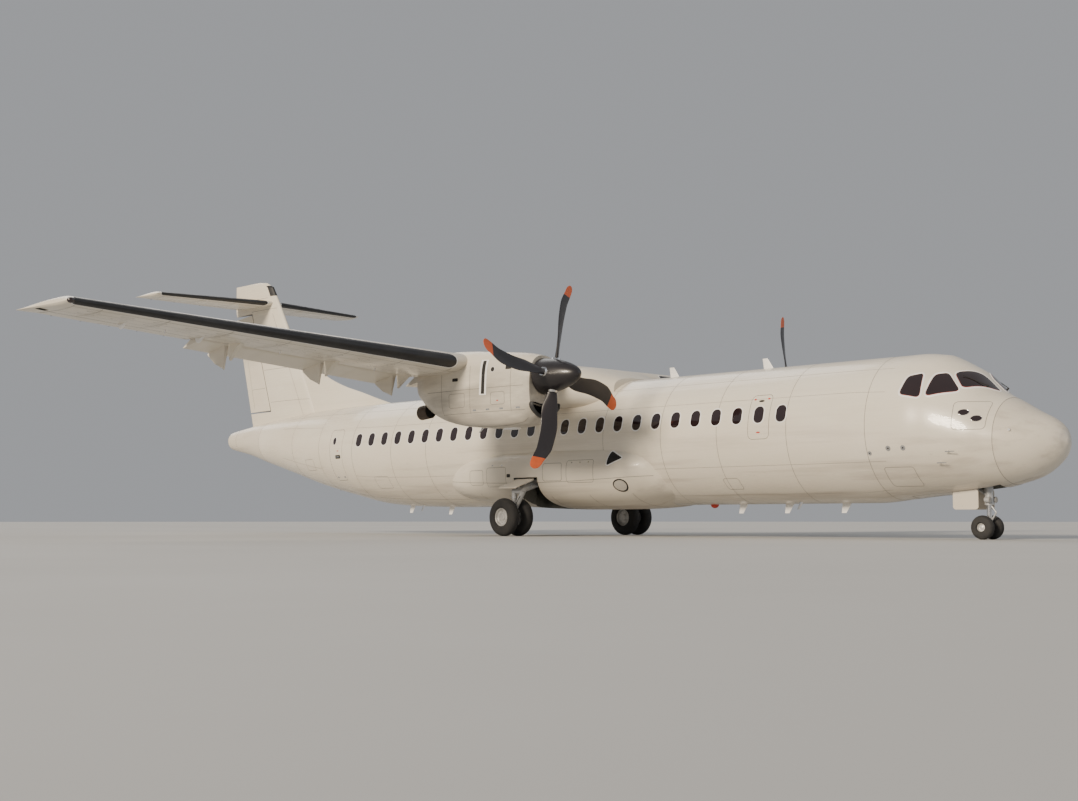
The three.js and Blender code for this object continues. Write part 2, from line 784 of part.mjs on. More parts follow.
function buildNacelles() {
  const whole = nacelleBetween(NACELLE_RINGS[0][0], COWL_END - CONTACT_GAP);
  const hollow = block(
    NACELLE_X - ENGINE.halfWidth - 20,
    NACELLE_X + ENGINE.halfWidth + 20,
    ENGINE.s0 - 20,
    COWL_END + 50,
    ENGINE.z0 - 20,
    ENGINE.z1 + 20,
  );
  const front = NACELLE_RINGS[0][0];
  const intake = loft([
    bodyRing(NACELLE_X, front - 50, INTAKE.halfWidth, INTAKE.zMid, INTAKE.halfHeight, 110, 20, 2.6),
    bodyRing(NACELLE_X, front + INTAKE.depth, 190, INTAKE.zMid - 40, 60, 60, 20, 2.6),
  ]);
  const gapWing = wingRoom();
  addPair("engine_cowl", whole.subtract(hollow).subtract(intake).subtract(gapWing), "paint");
  addPair(
    "engine",
    block(
      NACELLE_X - ENGINE.halfWidth,
      NACELLE_X + ENGINE.halfWidth,
      ENGINE.s0,
      ENGINE.s1,
      ENGINE.z0,
      ENGINE.z1,
    ),
    "engine",
  );

  const exhaust = rod(
    vector(NACELLE_X + 120, 12250, 2820),
    vector(NACELLE_X + 220, 13100, 2720),
    150,
    170,
    20,
  );
  const rear = nacelleBetween(COWL_END, NACELLE_RINGS.at(-1)[0]).subtract(gapWing).subtract(exhaust);
  addPair("nacelle_rear", largest(rear), "paint");
}

// Propellers. Columns of the spinner's outline: distance aft of its tip, radius
const SPINNER_PROFILE = [
  [0, 0],
  [20, 60],
  [90, 130],
  [230, 205],
  [430, 275],
  [700, 335],
  [SPINNER_BASE - SPINNER_TIP, 375],
];
const SPINNER_WALL = 12;

// Columns: radius fraction, chord, thickness, blade angle, sweep of the mid-chord
const BLADE_RINGS = [
  [0.075, 130, 110, 46, 0],
  [0.2, 210, 80, 44, 0],
  [0.36, 330, 55, 38, 7],
  [0.56, 350, 34, 29, -27],
  [0.76, 335, 24, 22, 9],
  [0.92, 270, 15, 18, 145],
  [1.0, 90, 8, 16, 197],
];

// One blade along +Z, its section a flat lens with rounded edges.
function blade() {
  const sides = 8;
  return loft(
    BLADE_RINGS.map(([fraction, chord, thick, degrees, sweep]) => {
      const angle = THREE.MathUtils.degToRad(degrees);
      const ring = [];
      for (let i = 0; i < sides; i++) {
        const t = (2 * Math.PI * i) / sides;
        const along = sweep + (chord / 2) * Math.cos(t);
        const across = (thick / 2) * Math.sin(t);
        ring.push(
          new THREE.Vector3(
            along * Math.cos(angle) - across * Math.sin(angle),
            along * Math.sin(angle) + across * Math.cos(angle),
            fraction * PROP_R,
          ),
        );
      }
      return ring;
    }),
  );
}

// Columns: name, side, turn of the first blade as the blades stand in flight
const PROPS = [
  ["left", 1, 79.5],
  ["right", -1, 10.2],
];

function buildPropellers() {
  const outline = SPINNER_PROFILE.map(([along, r]) => [r, along]);
  const base = SPINNER_BASE - SPINNER_TIP;
  const inner = [
    [375 - SPINNER_WALL, base],
    [260 - SPINNER_WALL, 450],
    [100, 130],
    [0, 60],
  ];
  for (const [side, sign, phase] of PROPS) {
    const centre = vector(sign * NACELLE_X, PROP_PLANE, THRUST_Z);
    const spinnerAt = vector(sign * NACELLE_X, SPINNER_TIP, THRUST_Z);
    const shell = turned([...outline, ...inner], spinnerAt, "y", 20);
    const pieces = [
      rod(
        vector(centre.x, PROP_PLANE - 180, THRUST_Z),
        vector(centre.x, SPINNER_BASE + 20, THRUST_Z),
        190,
        190,
        16,
      ),
    ];
    const slots = [];
    for (let i = 0; i < BLADES; i++) {
      const turn = THREE.MathUtils.degToRad(phase + (360 / BLADES) * i);
      const place = new THREE.Matrix4()
        .makeTranslation(centre.x, centre.y, centre.z)
        .multiply(new THREE.Matrix4().makeRotationY(turn));
      pieces.push(moved(blade(), place));
      const out = new THREE.Vector3(Math.sin(turn), 0, Math.cos(turn));
      const foot = centre.clone().addScaledVector(out, 150);
      slots.push(rod(foot, foot.clone().addScaledVector(out, 270), 110, 110, 12));
    }
    add("propeller_" + side, union(pieces), "blade");
    add("spinner_" + side, shell.subtract(union(slots)), "boot");
    noteHinge("propeller_" + side, centre, new THREE.Vector3(0, 1, 0));
  }
}

// Fin, rudder and tailplane

// Fin sections. Columns: height, leading edge, trailing edge, thickness ratio
const FIN_RINGS = [
  [2900, 22310, 26030, 0.13],
  [3330, 22580, 26150, 0.13],
  [6880, 24770, 27165, 0.1],
  [7440, 25140, 27168, 0.095],
  [7600, 25470, 27170, 0.06],
  [HEIGHT, 25850, 27170, 0.02],
];
const RUDDER = { z0: 3620, z1: 6690, hinge0: 24980, hinge1: 26170 };

function finRing([z, le, te, thickness]) {
  const chord = te - le;
  return aerofoil(thickness, 0).map(([f, h]) => vector(h * chord, le + f * chord, z));
}

// Columns: place across the span, leading edge, trailing edge
const TAILPLANE_RINGS = [
  [0, 25020, 27080],
  [3600, 25640, 26895],
];
const ELEVATOR = { x0: 330, x1: 3330, fraction: 0.66 };

function wholeTailplane() {
  const [[, le0, te0], [xTip, le1, te1]] = TAILPLANE_RINGS;
  const rake = TAILPLANE_HALF - xTip - 30;
  const tipRing = (x, options) =>
    wingRing(x, le1, te1, TAILPLANE_Z, 0.11, { camber: 0, incidence: 0, ...options });
  const half = (sign) => [
    tipRing(sign * xTip, { rake: sign * rake * 0.8 }),
    tipRing(sign * (xTip + 30), { rake: sign * rake, scale: 0.3 }),
  ];
  const middle = wingRing(0, le0, te0, TAILPLANE_Z, 0.12, { camber: 0, incidence: 0 });
  const port = half(1);
  const starboard = half(-1);
  return loft([starboard[1], starboard[0], middle, port[0], port[1]]);
}

function tailplanePoint(x, fraction) {
  const [[, le0, te0], [xTip, le1, te1]] = TAILPLANE_RINGS;
  const t = x / xTip;
  const le = le0 + (le1 - le0) * t;
  const chord = te0 + (te1 - te0) * t - le;
  const ring = aerofoil(0.12 - 0.01 * t, 0);
  const i = ring.findIndex(([f], k) => k < AEROFOIL_STEPS && ring[k + 1][0] <= fraction && f >= fraction);
  const [a, b] = [ring[i], ring[i + 1]];
  const h = a[1] + ((b[1] - a[1]) * (fraction - a[0])) / (b[0] - a[0]);
  return { point: vector(x, le + fraction * chord, TAILPLANE_Z), half: h * chord };
}

function buildTail() {
  let tailplane = wholeTailplane();
  const a = tailplanePoint(ELEVATOR.x0, ELEVATOR.fraction);
  const b = tailplanePoint(ELEVATOR.x1, ELEVATOR.fraction);
  const elevator = splitSurface(tailplane, a.point, b.point, a.half, b.half);
  tailplane = mirrored(splitSurface(mirrored(elevator.fixed), a.point, b.point, a.half, b.half).fixed);
  addHingedPair("elevator", elevator.surface, a.point, b.point);
  add("tailplane", tailplane, "paint");

  const wholeFin = loft(FIN_RINGS.map(finRing));
  const low = vector(0, RUDDER.hinge0, RUDDER.z0);
  const high = vector(0, RUDDER.hinge1, RUDDER.z1);
  const halfAt = (z, s) => {
    const rows = FIN_RINGS.slice(1, 3);
    const t = (z - rows[0][0]) / (rows[1][0] - rows[0][0]);
    const [, le, te, thickness] = rows[0].map((value, i) => value + (rows[1][i] - value) * t);
    const f = (s - le) / (te - le);
    return (
      (te - le) * 5 * thickness *
      (0.2969 * Math.sqrt(f) - 0.126 * f - 0.3516 * f ** 2 + 0.2843 * f ** 3 - 0.1015 * f ** 4)
    );
  };
  const [halfLow, halfHigh] = [halfAt(RUDDER.z0, RUDDER.hinge0), halfAt(RUDDER.z1, RUDDER.hinge1)];
  const up = high.clone().sub(low).normalize();
  const gap = 10;
  const lean = (RUDDER.hinge1 - RUDDER.hinge0) / (RUDDER.z1 - RUDDER.z0);
  const aft = (grow) =>
    sidePrism(
      [
        [RUDDER.hinge0 - grow * lean, RUDDER.z0 - grow],
        [RUDDER.hinge1 + grow * lean, RUDDER.z1 + grow],
        [RUDDER.hinge1 + 3000, RUDDER.z1 + grow],
        [RUDDER.hinge0 + 3000, RUDDER.z0 - grow],
      ],
      -600,
      600,
    );
  const endGap = 34;
  const level = sidePrism(
    [
      [23000, RUDDER.z0 + endGap],
      [28000, RUDDER.z0 + endGap],
      [28000, RUDDER.z1 - endGap - 0.06 * (28000 - RUDDER.hinge1)],
      [RUDDER.hinge1, RUDDER.z1 - endGap],
      [23000, RUDDER.z1 - endGap],
    ],
    -600,
    600,
  );
  const below = low.clone().addScaledVector(up, -100);
  const above = high.clone().addScaledVector(up, 100);
  const nose = rod(below, above, halfLow, halfHigh, 20);
  const room = block(-600, 600, 23000, 28000, RUDDER.z0 - gap, RUDDER.z1 + gap);
  const cove = rod(below, above, halfLow + gap, halfHigh + gap, 20).intersect(room);
  const rudder = wholeFin.intersect(aft(-gap).add(nose).intersect(level));
  add("rudder", rudder, "paint");
  noteHinge("rudder", low, up);

  const gapTail = union([
    wholeTailplane(),
    shifted(wholeTailplane(), 0, 0, 1),
    shifted(wholeTailplane(), 0, 0, -1),
    shifted(wholeTailplane(), 0, -1, 0),
  ]);
  const fin = wholeFin
    .subtract(aft(gap).add(cove))
    .subtract(gapTail)
    .subtract(fuselageBetween(19000, LENGTH, -CONTACT_GAP))
    .subtract(block(-600, 600, 20000, 28000, 0, 3000));
  add("fin", largest(fin), "paint");
  buildDorsal(wholeFin);
}

// Dorsal fin. Columns: station, crest level, half width at the foot
const DORSAL_RINGS = [
  [19300, 3540, 40],
  [20000, 3740, 70],
  [20700, 3950, 95],
  [21450, 4160, 115],
  [22170, 4430, 130],
  [22830, 4790, 145],
  [23490, 5270, 150],
  [24150, 5790, 150],
];

function buildDorsal(wholeFin) {
  const foot = 2900;
  const rings = DORSAL_RINGS.map(([s, crest, half]) => {
    const edge = Math.min(28, half);
    return [
      vector(half, s, foot),
      vector(half, s, 3300),
      vector(half * 0.6 + edge * 0.4, s, (crest + 3300) / 2),
      vector(edge, s, crest - 30),
      vector(edge * 0.5, s, crest),
      vector(-edge * 0.5, s, crest),
      vector(-edge, s, crest - 30),
      vector(-half * 0.6 - edge * 0.4, s, (crest + 3300) / 2),
      vector(-half, s, 3300),
      vector(-half, s, foot),
    ];
  });
  const [[z0, le0], [z1, le1]] = [FIN_RINGS[0], FIN_RINGS[2]];
  const back = 25;
  const aftOfFin = sidePrism(
    [
      [le0 + back, z0 - 50],
      [le1 + back, z1],
      [le1 + 3000, z1],
      [le0 + 3000, z0 - 50],
    ],
    -600,
    600,
  );
  const body = loft(rings)
    .subtract(aftOfFin)
    .subtract(union([wholeFin, shifted(wholeFin, 0, -CONTACT_GAP, 0)]))
    .subtract(fuselageBetween(18500, LENGTH, -CONTACT_GAP))
    .subtract(block(-600, 600, 19000, 25000, 0, 3000));
  add("dorsal_fin", largest(body), "paint");
}

// Landing gear

// A closed tyre outline: [radius, across], round shoulders and a flat tread.
function tyreProfile(outer, half, bead) {
  const flank = outer - bead;
  return [
    [bead, -half * 0.72],
    [bead + flank * 0.5, -half],
    [outer - flank * 0.12, -half * 0.82],
    [outer, -half * 0.45],
    [outer, half * 0.45],
    [outer - flank * 0.12, half * 0.82],
    [bead + flank * 0.5, half],
    [bead, half * 0.72],
    [bead, -half * 0.72],
  ];
}

// A rim outline: a barrel that fills the tyre's bead with a dished face on each side.
function rimProfile({ bead, half, hub }) {
  const seat = bead - 0.5;
  return [
    [0, -half * 0.45],
    [hub, -half * 0.45],
    [seat * 0.85, -half * 0.3],
    [seat * 0.9, -half * 0.72],
    [seat, -half * 0.72],
    [seat, half * 0.72],
    [seat * 0.9, half * 0.72],
    [seat * 0.85, half * 0.3],
    [hub, half * 0.45],
    [0, half * 0.45],
  ];
}

const MAIN_WHEEL = { half: 127, bead: 203, spacing: 222, hub: 75, axle: 40 };
const WHEEL_SIDES = 20;
const HALF_SIDE = Math.PI / WHEEL_SIDES;
const NOSE_WHEEL = { half: 92, bead: 78, spacing: 178, hub: 34, axle: 24 };

function wheelPair(x, s, r, wheel) {
  const axleEnds = [x - wheel.spacing, x + wheel.spacing];
  const rims = axleEnds.map((at) =>
    turned(rimProfile(wheel), vector(at, s, r), "x", WHEEL_SIDES, HALF_SIDE),
  );
  const axle = rod(vector(axleEnds[0], s, r), vector(axleEnds[1], s, r), wheel.axle, wheel.axle, 12);
  return union([...rims, axle]);
}

// A tyre rests on the middle of one of its sides, which is as far from the axle as its radius says.
function tyreAt(x, s, r, wheel) {
  const corner = r / Math.cos(HALF_SIDE);
  const profile = tyreProfile(corner, wheel.half, wheel.bead);
  return turned(profile, vector(x, s, r), "x", WHEEL_SIDES, HALF_SIDE);
}

// An eye round an axle, with room to turn.
function eye(x0, x1, s, z, outer, bore) {
  return rod(vector(x0, s, z), vector(x1, s, z), outer, outer, 12).subtract(
    rod(vector(x0 - 10, s, z), vector(x1 + 10, s, z), bore, bore, 12),
  );
}

// The leg swings out from a pivot in the fairing to a head above the wheels. A lever trails
// from the front of the head down to the axle, with the shock absorber upright behind it.
const MAIN_PIVOT = { x: 1400, s: 12150, z: 1235 };
const HEAD = { s0: 11990, s1: 12330, z: 1020 };

function buildMainGear() {
  const x = MAIN_TRACK_X;
  const r = MAIN_TYRE_R;
  const eyeHalf = 75;
  const pivot = vector(MAIN_PIVOT.x, MAIN_PIVOT.s, MAIN_PIVOT.z);
  const shoulder = vector(x, MAIN_PIVOT.s, HEAD.z);
  const leg = union([
    rod(
      vector(MAIN_PIVOT.x, LEG_BAY.s0 + 5, MAIN_PIVOT.z),
      vector(MAIN_PIVOT.x, LEG_BAY.s1 - 5, MAIN_PIVOT.z),
      62,
      62,
      12,
    ),
    rod(pivot, shoulder, 88, 72, 12),
    rod(vector(x, HEAD.s0, HEAD.z), vector(x, HEAD.s1, HEAD.z), 70, 62, 12),
    rod(vector(x, HEAD.s0 + 10, HEAD.z), vector(x, MAIN_AXLE - 50, r + 60), 62, 52, 12),
    eye(x - eyeHalf, x + eyeHalf, MAIN_AXLE, r, 100, MAIN_WHEEL.axle + 6),
    rod(vector(x, HEAD.s1 - 40, HEAD.z), vector(x, HEAD.s1 - 30, HEAD.z - 260), 60, 60, 12),
    rod(vector(x, HEAD.s1 - 30, HEAD.z - 250), vector(x, HEAD.s1 - 20, r + 110), 38, 38, 12),
    rod(vector(1760, MAIN_PIVOT.s - 100, 1120), vector(1000, MAIN_PIVOT.s - 100, 1290), 36, 36, 10),
    rod(vector(1760, MAIN_PIVOT.s - 100, 1120), vector(1760, MAIN_PIVOT.s, 1120), 30, 30, 10),
  ]);
  // The leg door stands off the upper side of the leg on two short struts.
  const door = { x0: 1720, z0: 1290, x1: 2330, z1: 1085, thick: 22, s0: 11960, s1: 12560 };
  const plate = new THREE.Shape([
    new THREE.Vector2(door.x0, door.z0),
    new THREE.Vector2(door.x1, door.z1),
    new THREE.Vector2(door.x1, door.z1 + door.thick),
    new THREE.Vector2(door.x0, door.z0 + door.thick),
  ]);
  const plateGeometry = new THREE.ExtrudeGeometry(plate, { depth: door.s1 - door.s0, bevelEnabled: false });
  // The shape's own axes are X and Z, and its depth runs forwards along Y.
  plateGeometry.applyMatrix4(
    new THREE.Matrix4().set(1, 0, 0, 0, 0, 0, -1, station(door.s1), 0, 1, 0, 0, 0, 0, 0, 1),
  );
  const struts = [1850, 2040].map((at) => {
    const drop = (door.z1 - door.z0) / (door.x1 - door.x0);
    const top = door.z0 + (at - door.x0) * drop + door.thick / 2;
    return rod(vector(at, MAIN_PIVOT.s, top - 170), vector(at, MAIN_PIVOT.s, top), 24, 24, 10);
  });
  addPair("main_gear_leg", union([leg, solid(plateGeometry), ...struts]), "steel");
  addPair("main_wheels", wheelPair(x, MAIN_AXLE, r, MAIN_WHEEL), "rim");
  addPair("main_tyre_inner", tyreAt(x - MAIN_WHEEL.spacing, MAIN_AXLE, r, MAIN_WHEEL), "tyre");
  addPair("main_tyre_outer", tyreAt(x + MAIN_WHEEL.spacing, MAIN_AXLE, r, MAIN_WHEEL), "tyre");
}

const NOSE_LEG_S = 1585;

function buildNoseGear() {
  const r = NOSE_TYRE_R;
  const tubeFoot = 640;
  const pinEnd = NOSE_BAY.halfWidth - 5;
  const leg = union([
    rod(vector(0, NOSE_LEG_S, tubeFoot), vector(0, NOSE_LEG_S, NOSE_BAY.roof - 5), 78, 78, 16),
    rod(vector(-pinEnd, NOSE_LEG_S, 1150), vector(pinEnd, NOSE_LEG_S, 1150), 45, 45, 12),
    rod(vector(0, NOSE_LEG_S, 800), vector(0, NOSE_BAY.s1 - 60, 1190), 34, 34, 10),
    rod(vector(0, NOSE_BAY.s1 - 60, 1190), vector(0, NOSE_BAY.s1 - 60, NOSE_BAY.roof - 5), 34, 34, 10),
  ]).subtract(rod(vector(0, NOSE_LEG_S, tubeFoot - 10), vector(0, NOSE_LEG_S, 860), 56, 56, 16));
  add("nose_gear_leg", leg, "steel");

  const bore = NOSE_WHEEL.axle + 6;
  const fork = union([
    rod(vector(0, NOSE_LEG_S, 300), vector(0, NOSE_LEG_S, 840), 48, 48, 16),
    eye(-70, 70, NOSE_AXLE, r, 62, bore),
    rod(vector(0, NOSE_LEG_S, 380), vector(0, NOSE_AXLE, r + 50), 58, 50, 12),
  ]).subtract(rod(vector(-90, NOSE_AXLE, r), vector(90, NOSE_AXLE, r), bore, bore, 16));
  add("nose_gear_fork", fork, "steel");
  add("nose_wheels", wheelPair(0, NOSE_AXLE, r, NOSE_WHEEL), "rim");
  add("nose_tyre_left", tyreAt(NOSE_WHEEL.spacing, NOSE_AXLE, r, NOSE_WHEEL), "tyre");
  add("nose_tyre_right", tyreAt(-NOSE_WHEEL.spacing, NOSE_AXLE, r, NOSE_WHEEL), "tyre");

  // Two doors hang open beside the leg, each carried by the edge of the bay.
  const hang = { s0: 1640, s1: 2160, z0: 560, thick: 16 };
  const edge = NOSE_BAY.halfWidth;
  const door = block(edge - 25 - hang.thick, edge - 25, hang.s0, hang.s1, hang.z0, 940)
    .add(block(edge - 30, edge - CONTACT_GAP, hang.s0 + 60, hang.s0 + 120, 880, 920))
    .add(block(edge - 30, edge - CONTACT_GAP, hang.s1 - 120, hang.s1 - 60, 880, 920));
  addPair("nose_gear_door", door, "paint");
}

buildFuselage();
buildBelly();
buildWing();
buildRootFairing();
buildNacelles();
buildPropellers();
buildTail();
buildMainGear();
buildNoseGear();

export default root;
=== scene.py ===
"""Twin-turboprop regional airliner: the visible skins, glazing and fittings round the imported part."""

import math

import bpy
import numpy as np
from bpy.props import FloatProperty, FloatVectorProperty, IntProperty, PointerProperty
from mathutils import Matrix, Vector


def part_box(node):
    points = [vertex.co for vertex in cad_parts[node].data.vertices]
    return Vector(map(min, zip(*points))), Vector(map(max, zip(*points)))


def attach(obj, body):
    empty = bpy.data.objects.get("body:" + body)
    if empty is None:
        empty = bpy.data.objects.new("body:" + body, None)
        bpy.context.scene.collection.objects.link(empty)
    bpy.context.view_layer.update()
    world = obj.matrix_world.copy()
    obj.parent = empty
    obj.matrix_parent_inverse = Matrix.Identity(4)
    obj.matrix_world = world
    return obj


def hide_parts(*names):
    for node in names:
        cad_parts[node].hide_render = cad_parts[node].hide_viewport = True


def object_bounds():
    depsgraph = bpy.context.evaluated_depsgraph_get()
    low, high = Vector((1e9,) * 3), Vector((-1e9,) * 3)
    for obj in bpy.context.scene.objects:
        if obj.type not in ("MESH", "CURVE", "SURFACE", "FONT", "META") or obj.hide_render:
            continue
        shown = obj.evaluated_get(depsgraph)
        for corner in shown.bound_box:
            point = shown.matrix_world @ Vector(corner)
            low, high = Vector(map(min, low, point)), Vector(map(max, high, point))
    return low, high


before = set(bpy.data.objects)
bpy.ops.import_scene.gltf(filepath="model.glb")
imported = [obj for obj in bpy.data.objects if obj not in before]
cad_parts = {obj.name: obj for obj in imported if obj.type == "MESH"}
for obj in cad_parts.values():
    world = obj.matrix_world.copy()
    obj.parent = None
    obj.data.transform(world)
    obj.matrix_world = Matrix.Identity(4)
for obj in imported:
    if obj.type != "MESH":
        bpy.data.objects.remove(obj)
cad_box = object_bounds()

bl_info = {
    "name": "Regional turboprop airliner",
    "version": (1, 0, 0),
    "blender": (4, 5, 0),
    "location": "3D View > Sidebar > Airliner",
    "description": "Builds the skins, glazing, propellers, gear and fittings of a twin-turboprop airliner",
    "category": "Object",
}

# Driving sizes in metres. A station is the distance aft of the nose tip.
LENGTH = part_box("radome")[0].y * -2
HALF_SPAN = cad_box[1][0]
RADOME_END = 1.0
NOSE_END = 5.15
CENTRE_END = 17.6
REAR_END = 24.9
MOVING_GAP = 0.008
WALL = 0.07

WING_LE = 11.1
WING_CHORD = 2.63
WING_Z = 3.69
KINK_X = 4.83
TIP_LE_X = 13.28
TIP_LE = 11.76
TIP_TE = 13.32
TIP_Z = 4.195
WING_INCIDENCE = math.radians(2)
WING_CAMBER = 0.018
FLAP_DROP = math.radians(15)
HINGE_FRACTION = 0.72
HINGE_GAP = 0.01
HINGE_END_GAP = 0.02

# The cut between skins that meet, how deep a door's pocket goes behind the skin, the station
# where the nose stops curving, the span where the wing tip starts, and the level of the fin's foot.
JOINT_GAP = 0.0003
POCKET_DEPTH = 0.14
NOSE_CURVE_END = 3.3
TIP_START = 13.13
FIN_FOOT = 2.9

# Powers of the sections of the belly fairing and the wing root fairing.
BELLY_POWER = 2.5
ROOT_POWER = 3.2

NACELLE_X = 4.05
THRUST_Z = 3.315
PROP_R = 1.98
PROP_PLANE = 9.0
SPINNER_TIP = 8.27
SPINNER_BASE = 9.29

TAILPLANE_Z = 6.93
MAIN_AXLE = 12.4
MAIN_TRACK_X = 2.05
MAIN_TYRE_R = 0.432
NOSE_AXLE = 1.63
NOSE_TYRE_R = 0.225

# How far seams stand off a skin and rims sink into it, and the angles of crisp edges in degrees.
SEAM_LIFT = 0.0014
JOINT_LIFT = 0.0012
RIM_SINK = 0.003
SMOOTH_ANGLE = 32.0
TYRE_ANGLE = 50.0

# Paint: how it fades in red, green and blue, and the colours of its spots and its soot.
FADING = (0.93, 0.91, 0.87)
SPOT_COLOUR = (0.2, 0.17, 0.14)
SOOT_COLOUR = (0.09, 0.08, 0.07)

# The stage: how far the floor goes, and the level that the camera looks at.
FLOOR_REACH = 400.0
TARGET_LEVEL = 3.3


def aft(s):
    """Y of a station."""
    return s - LENGTH / 2


# Fuselage rings. Columns: station, half width, widest level, height above it, depth below it
FUSELAGE = np.array([
    [0.0, 0.060, 1.775, 0.055, 0.055],
    [0.07, 0.258, 1.775, 0.255, 0.245],
    [0.22, 0.448, 1.780, 0.395, 0.420],
    [0.52, 0.688, 1.765, 0.575, 0.605],
    [1.0, 0.930, 1.800, 0.820, 0.790],
    [1.2, 1.005, 1.825, 0.905, 0.865],
    [1.42, 1.085, 1.850, 1.090, 0.925],
    [1.65, 1.150, 1.885, 1.285, 0.985],
    [1.8, 1.190, 1.910, 1.350, 1.025],
    [2.15, 1.270, 1.970, 1.480, 1.115],
    [2.3, 1.295, 1.990, 1.520, 1.150],
    [2.6, 1.350, 2.035, 1.520, 1.215],
    [3.2, 1.405, 2.090, 1.472, 1.330],
    [3.9, 1.4325, 2.130, 1.4325, 1.4325],
    [16.0, 1.4325, 2.130, 1.4325, 1.4325],
    [17.6, 1.431, 2.135, 1.425, 1.412],
    [19.0, 1.412, 2.170, 1.388, 1.375],
    [20.5, 1.300, 2.290, 1.260, 1.250],
    [22.0, 1.110, 2.440, 1.080, 1.105],
    [23.5, 0.865, 2.600, 0.840, 0.895],
    [24.9, 0.615, 2.710, 0.620, 0.668],
    [26.1, 0.400, 2.785, 0.415, 0.438],
    [26.9, 0.290, 2.808, 0.300, 0.310],
    [27.09, 0.262, 2.810, 0.268, 0.272],
    [27.15, 0.215, 2.810, 0.220, 0.222],
    [27.17, 0.150, 2.810, 0.150, 0.150],
])

# Belly fairing rings. Columns: station, half width, widest level, height above it, depth below it
BELLY = np.array([
    [8.45, 0.950, 1.400, 0.520, 0.560],
    [8.8, 1.330, 1.430, 0.620, 0.650],
    [9.3, 1.550, 1.440, 0.680, 0.785],
    [10.2, 1.655, 1.450, 0.720, 0.835],
    [11.5, 1.690, 1.450, 0.740, 0.840],
    [13.2, 1.670, 1.450, 0.730, 0.790],
    [14.4, 1.540, 1.440, 0.680, 0.690],
    [15.3, 1.260, 1.420, 0.590, 0.570],
    [15.9, 0.900, 1.400, 0.480, 0.480],
])

# Wing root fairing rings. Columns: station, half width, top level, bottom level
ROOT_FAIRING = np.array([
    [10.25, 0.900, 3.600, 2.900],
    [10.65, 1.230, 3.740, 2.860],
    [11.1, 1.490, 3.880, 2.840],
    [11.9, 1.540, 3.970, 2.830],
    [12.6, 1.460, 3.930, 2.830],
    [12.82, 1.400, 3.900, 2.830],
    [13.9, 1.320, 3.700, 2.860],
    [15.0, 0.950, 3.580, 2.950],
    [15.7, 0.600, 3.550, 3.150],
])

# Nacelle rings. Columns: station, half width, top level, bottom level, power of the section
NACELLE = np.array([
    [9.31, 0.420, 3.750, 2.440, 2.6],
    [9.62, 0.490, 3.820, 2.310, 3.0],
    [10.4, 0.540, 3.900, 2.290, 3.6],
    [11.3, 0.555, 3.980, 2.350, 3.8],
    [12.0, 0.545, 4.010, 2.480, 3.4],
    [12.5, 0.500, 3.900, 2.680, 3.0],
    [12.86, 0.430, 3.780, 2.950, 2.6],
])
COWL_END = 11.0

# Fin sections. Columns: level, leading edge, trailing edge, thickness ratio
FIN = np.array([
    [2.9, 22.31, 26.03, 0.13],
    [3.33, 22.58, 26.15, 0.13],
    [6.88, 24.77, 27.165, 0.1],
    [7.44, 25.14, 27.168, 0.095],
    [7.6, 25.47, 27.17, 0.06],
    [7.65, 25.85, 27.17, 0.02],
])

# Dorsal fin. Columns: station, crest level, half width at the foot
DORSAL = np.array([
    [19.3, 3.54, 0.04],
    [20.0, 3.74, 0.07],
    [20.7, 3.95, 0.095],
    [21.45, 4.16, 0.115],
    [22.17, 4.43, 0.13],
    [22.83, 4.79, 0.145],
    [23.49, 5.27, 0.15],
    [24.15, 5.79, 0.15],
])

# Propeller blade. Columns: radius fraction, chord, thickness, blade angle in degrees, sweep
BLADE = np.array([
    [0.075, 0.130, 0.110, 46, 0.0],
    [0.2, 0.210, 0.080, 44, 0.0],
    [0.36, 0.330, 0.055, 38, 0.007],
    [0.56, 0.350, 0.034, 29, -0.027],
    [0.76, 0.335, 0.024, 22, 0.009],
    [0.92, 0.270, 0.015, 18, 0.145],
    [1.0, 0.090, 0.008, 16, 0.197],
])

# Spinner outline. Columns: distance aft of its tip, radius
SPINNER = np.array([
    [0.0, 0.0],
    [0.02, 0.06],
    [0.09, 0.13],
    [0.23, 0.205],
    [0.43, 0.275],
    [0.7, 0.335],
    [SPINNER_BASE - SPINNER_TIP, 0.375],
])

# Doors: first and last station, sill, top, side (+1 port), depth of the entrance, corner radius
DOORS = {
    "cargo_door": dict(s0=3.78, s1=5.055, z0=1.35, z1=2.88, side=1, depth=0.9, corner=0.09),
    "passenger_door": dict(s0=19.72, s1=20.54, z0=1.33, z1=3.08, side=1, depth=0.9, corner=0.05),
    "service_door": dict(s0=19.79, s1=20.4, z0=1.45, z1=2.8, side=-1, depth=0.0, corner=0.1),
    "emergency_exit_left": dict(s0=5.575, s1=6.085, z0=1.99, z1=2.88, side=1, depth=0.0, corner=0.1),
    "emergency_exit_right": dict(s0=5.575, s1=6.085, z0=1.99, z1=2.88, side=-1, depth=0.0, corner=0.1),
}


# Surfaces

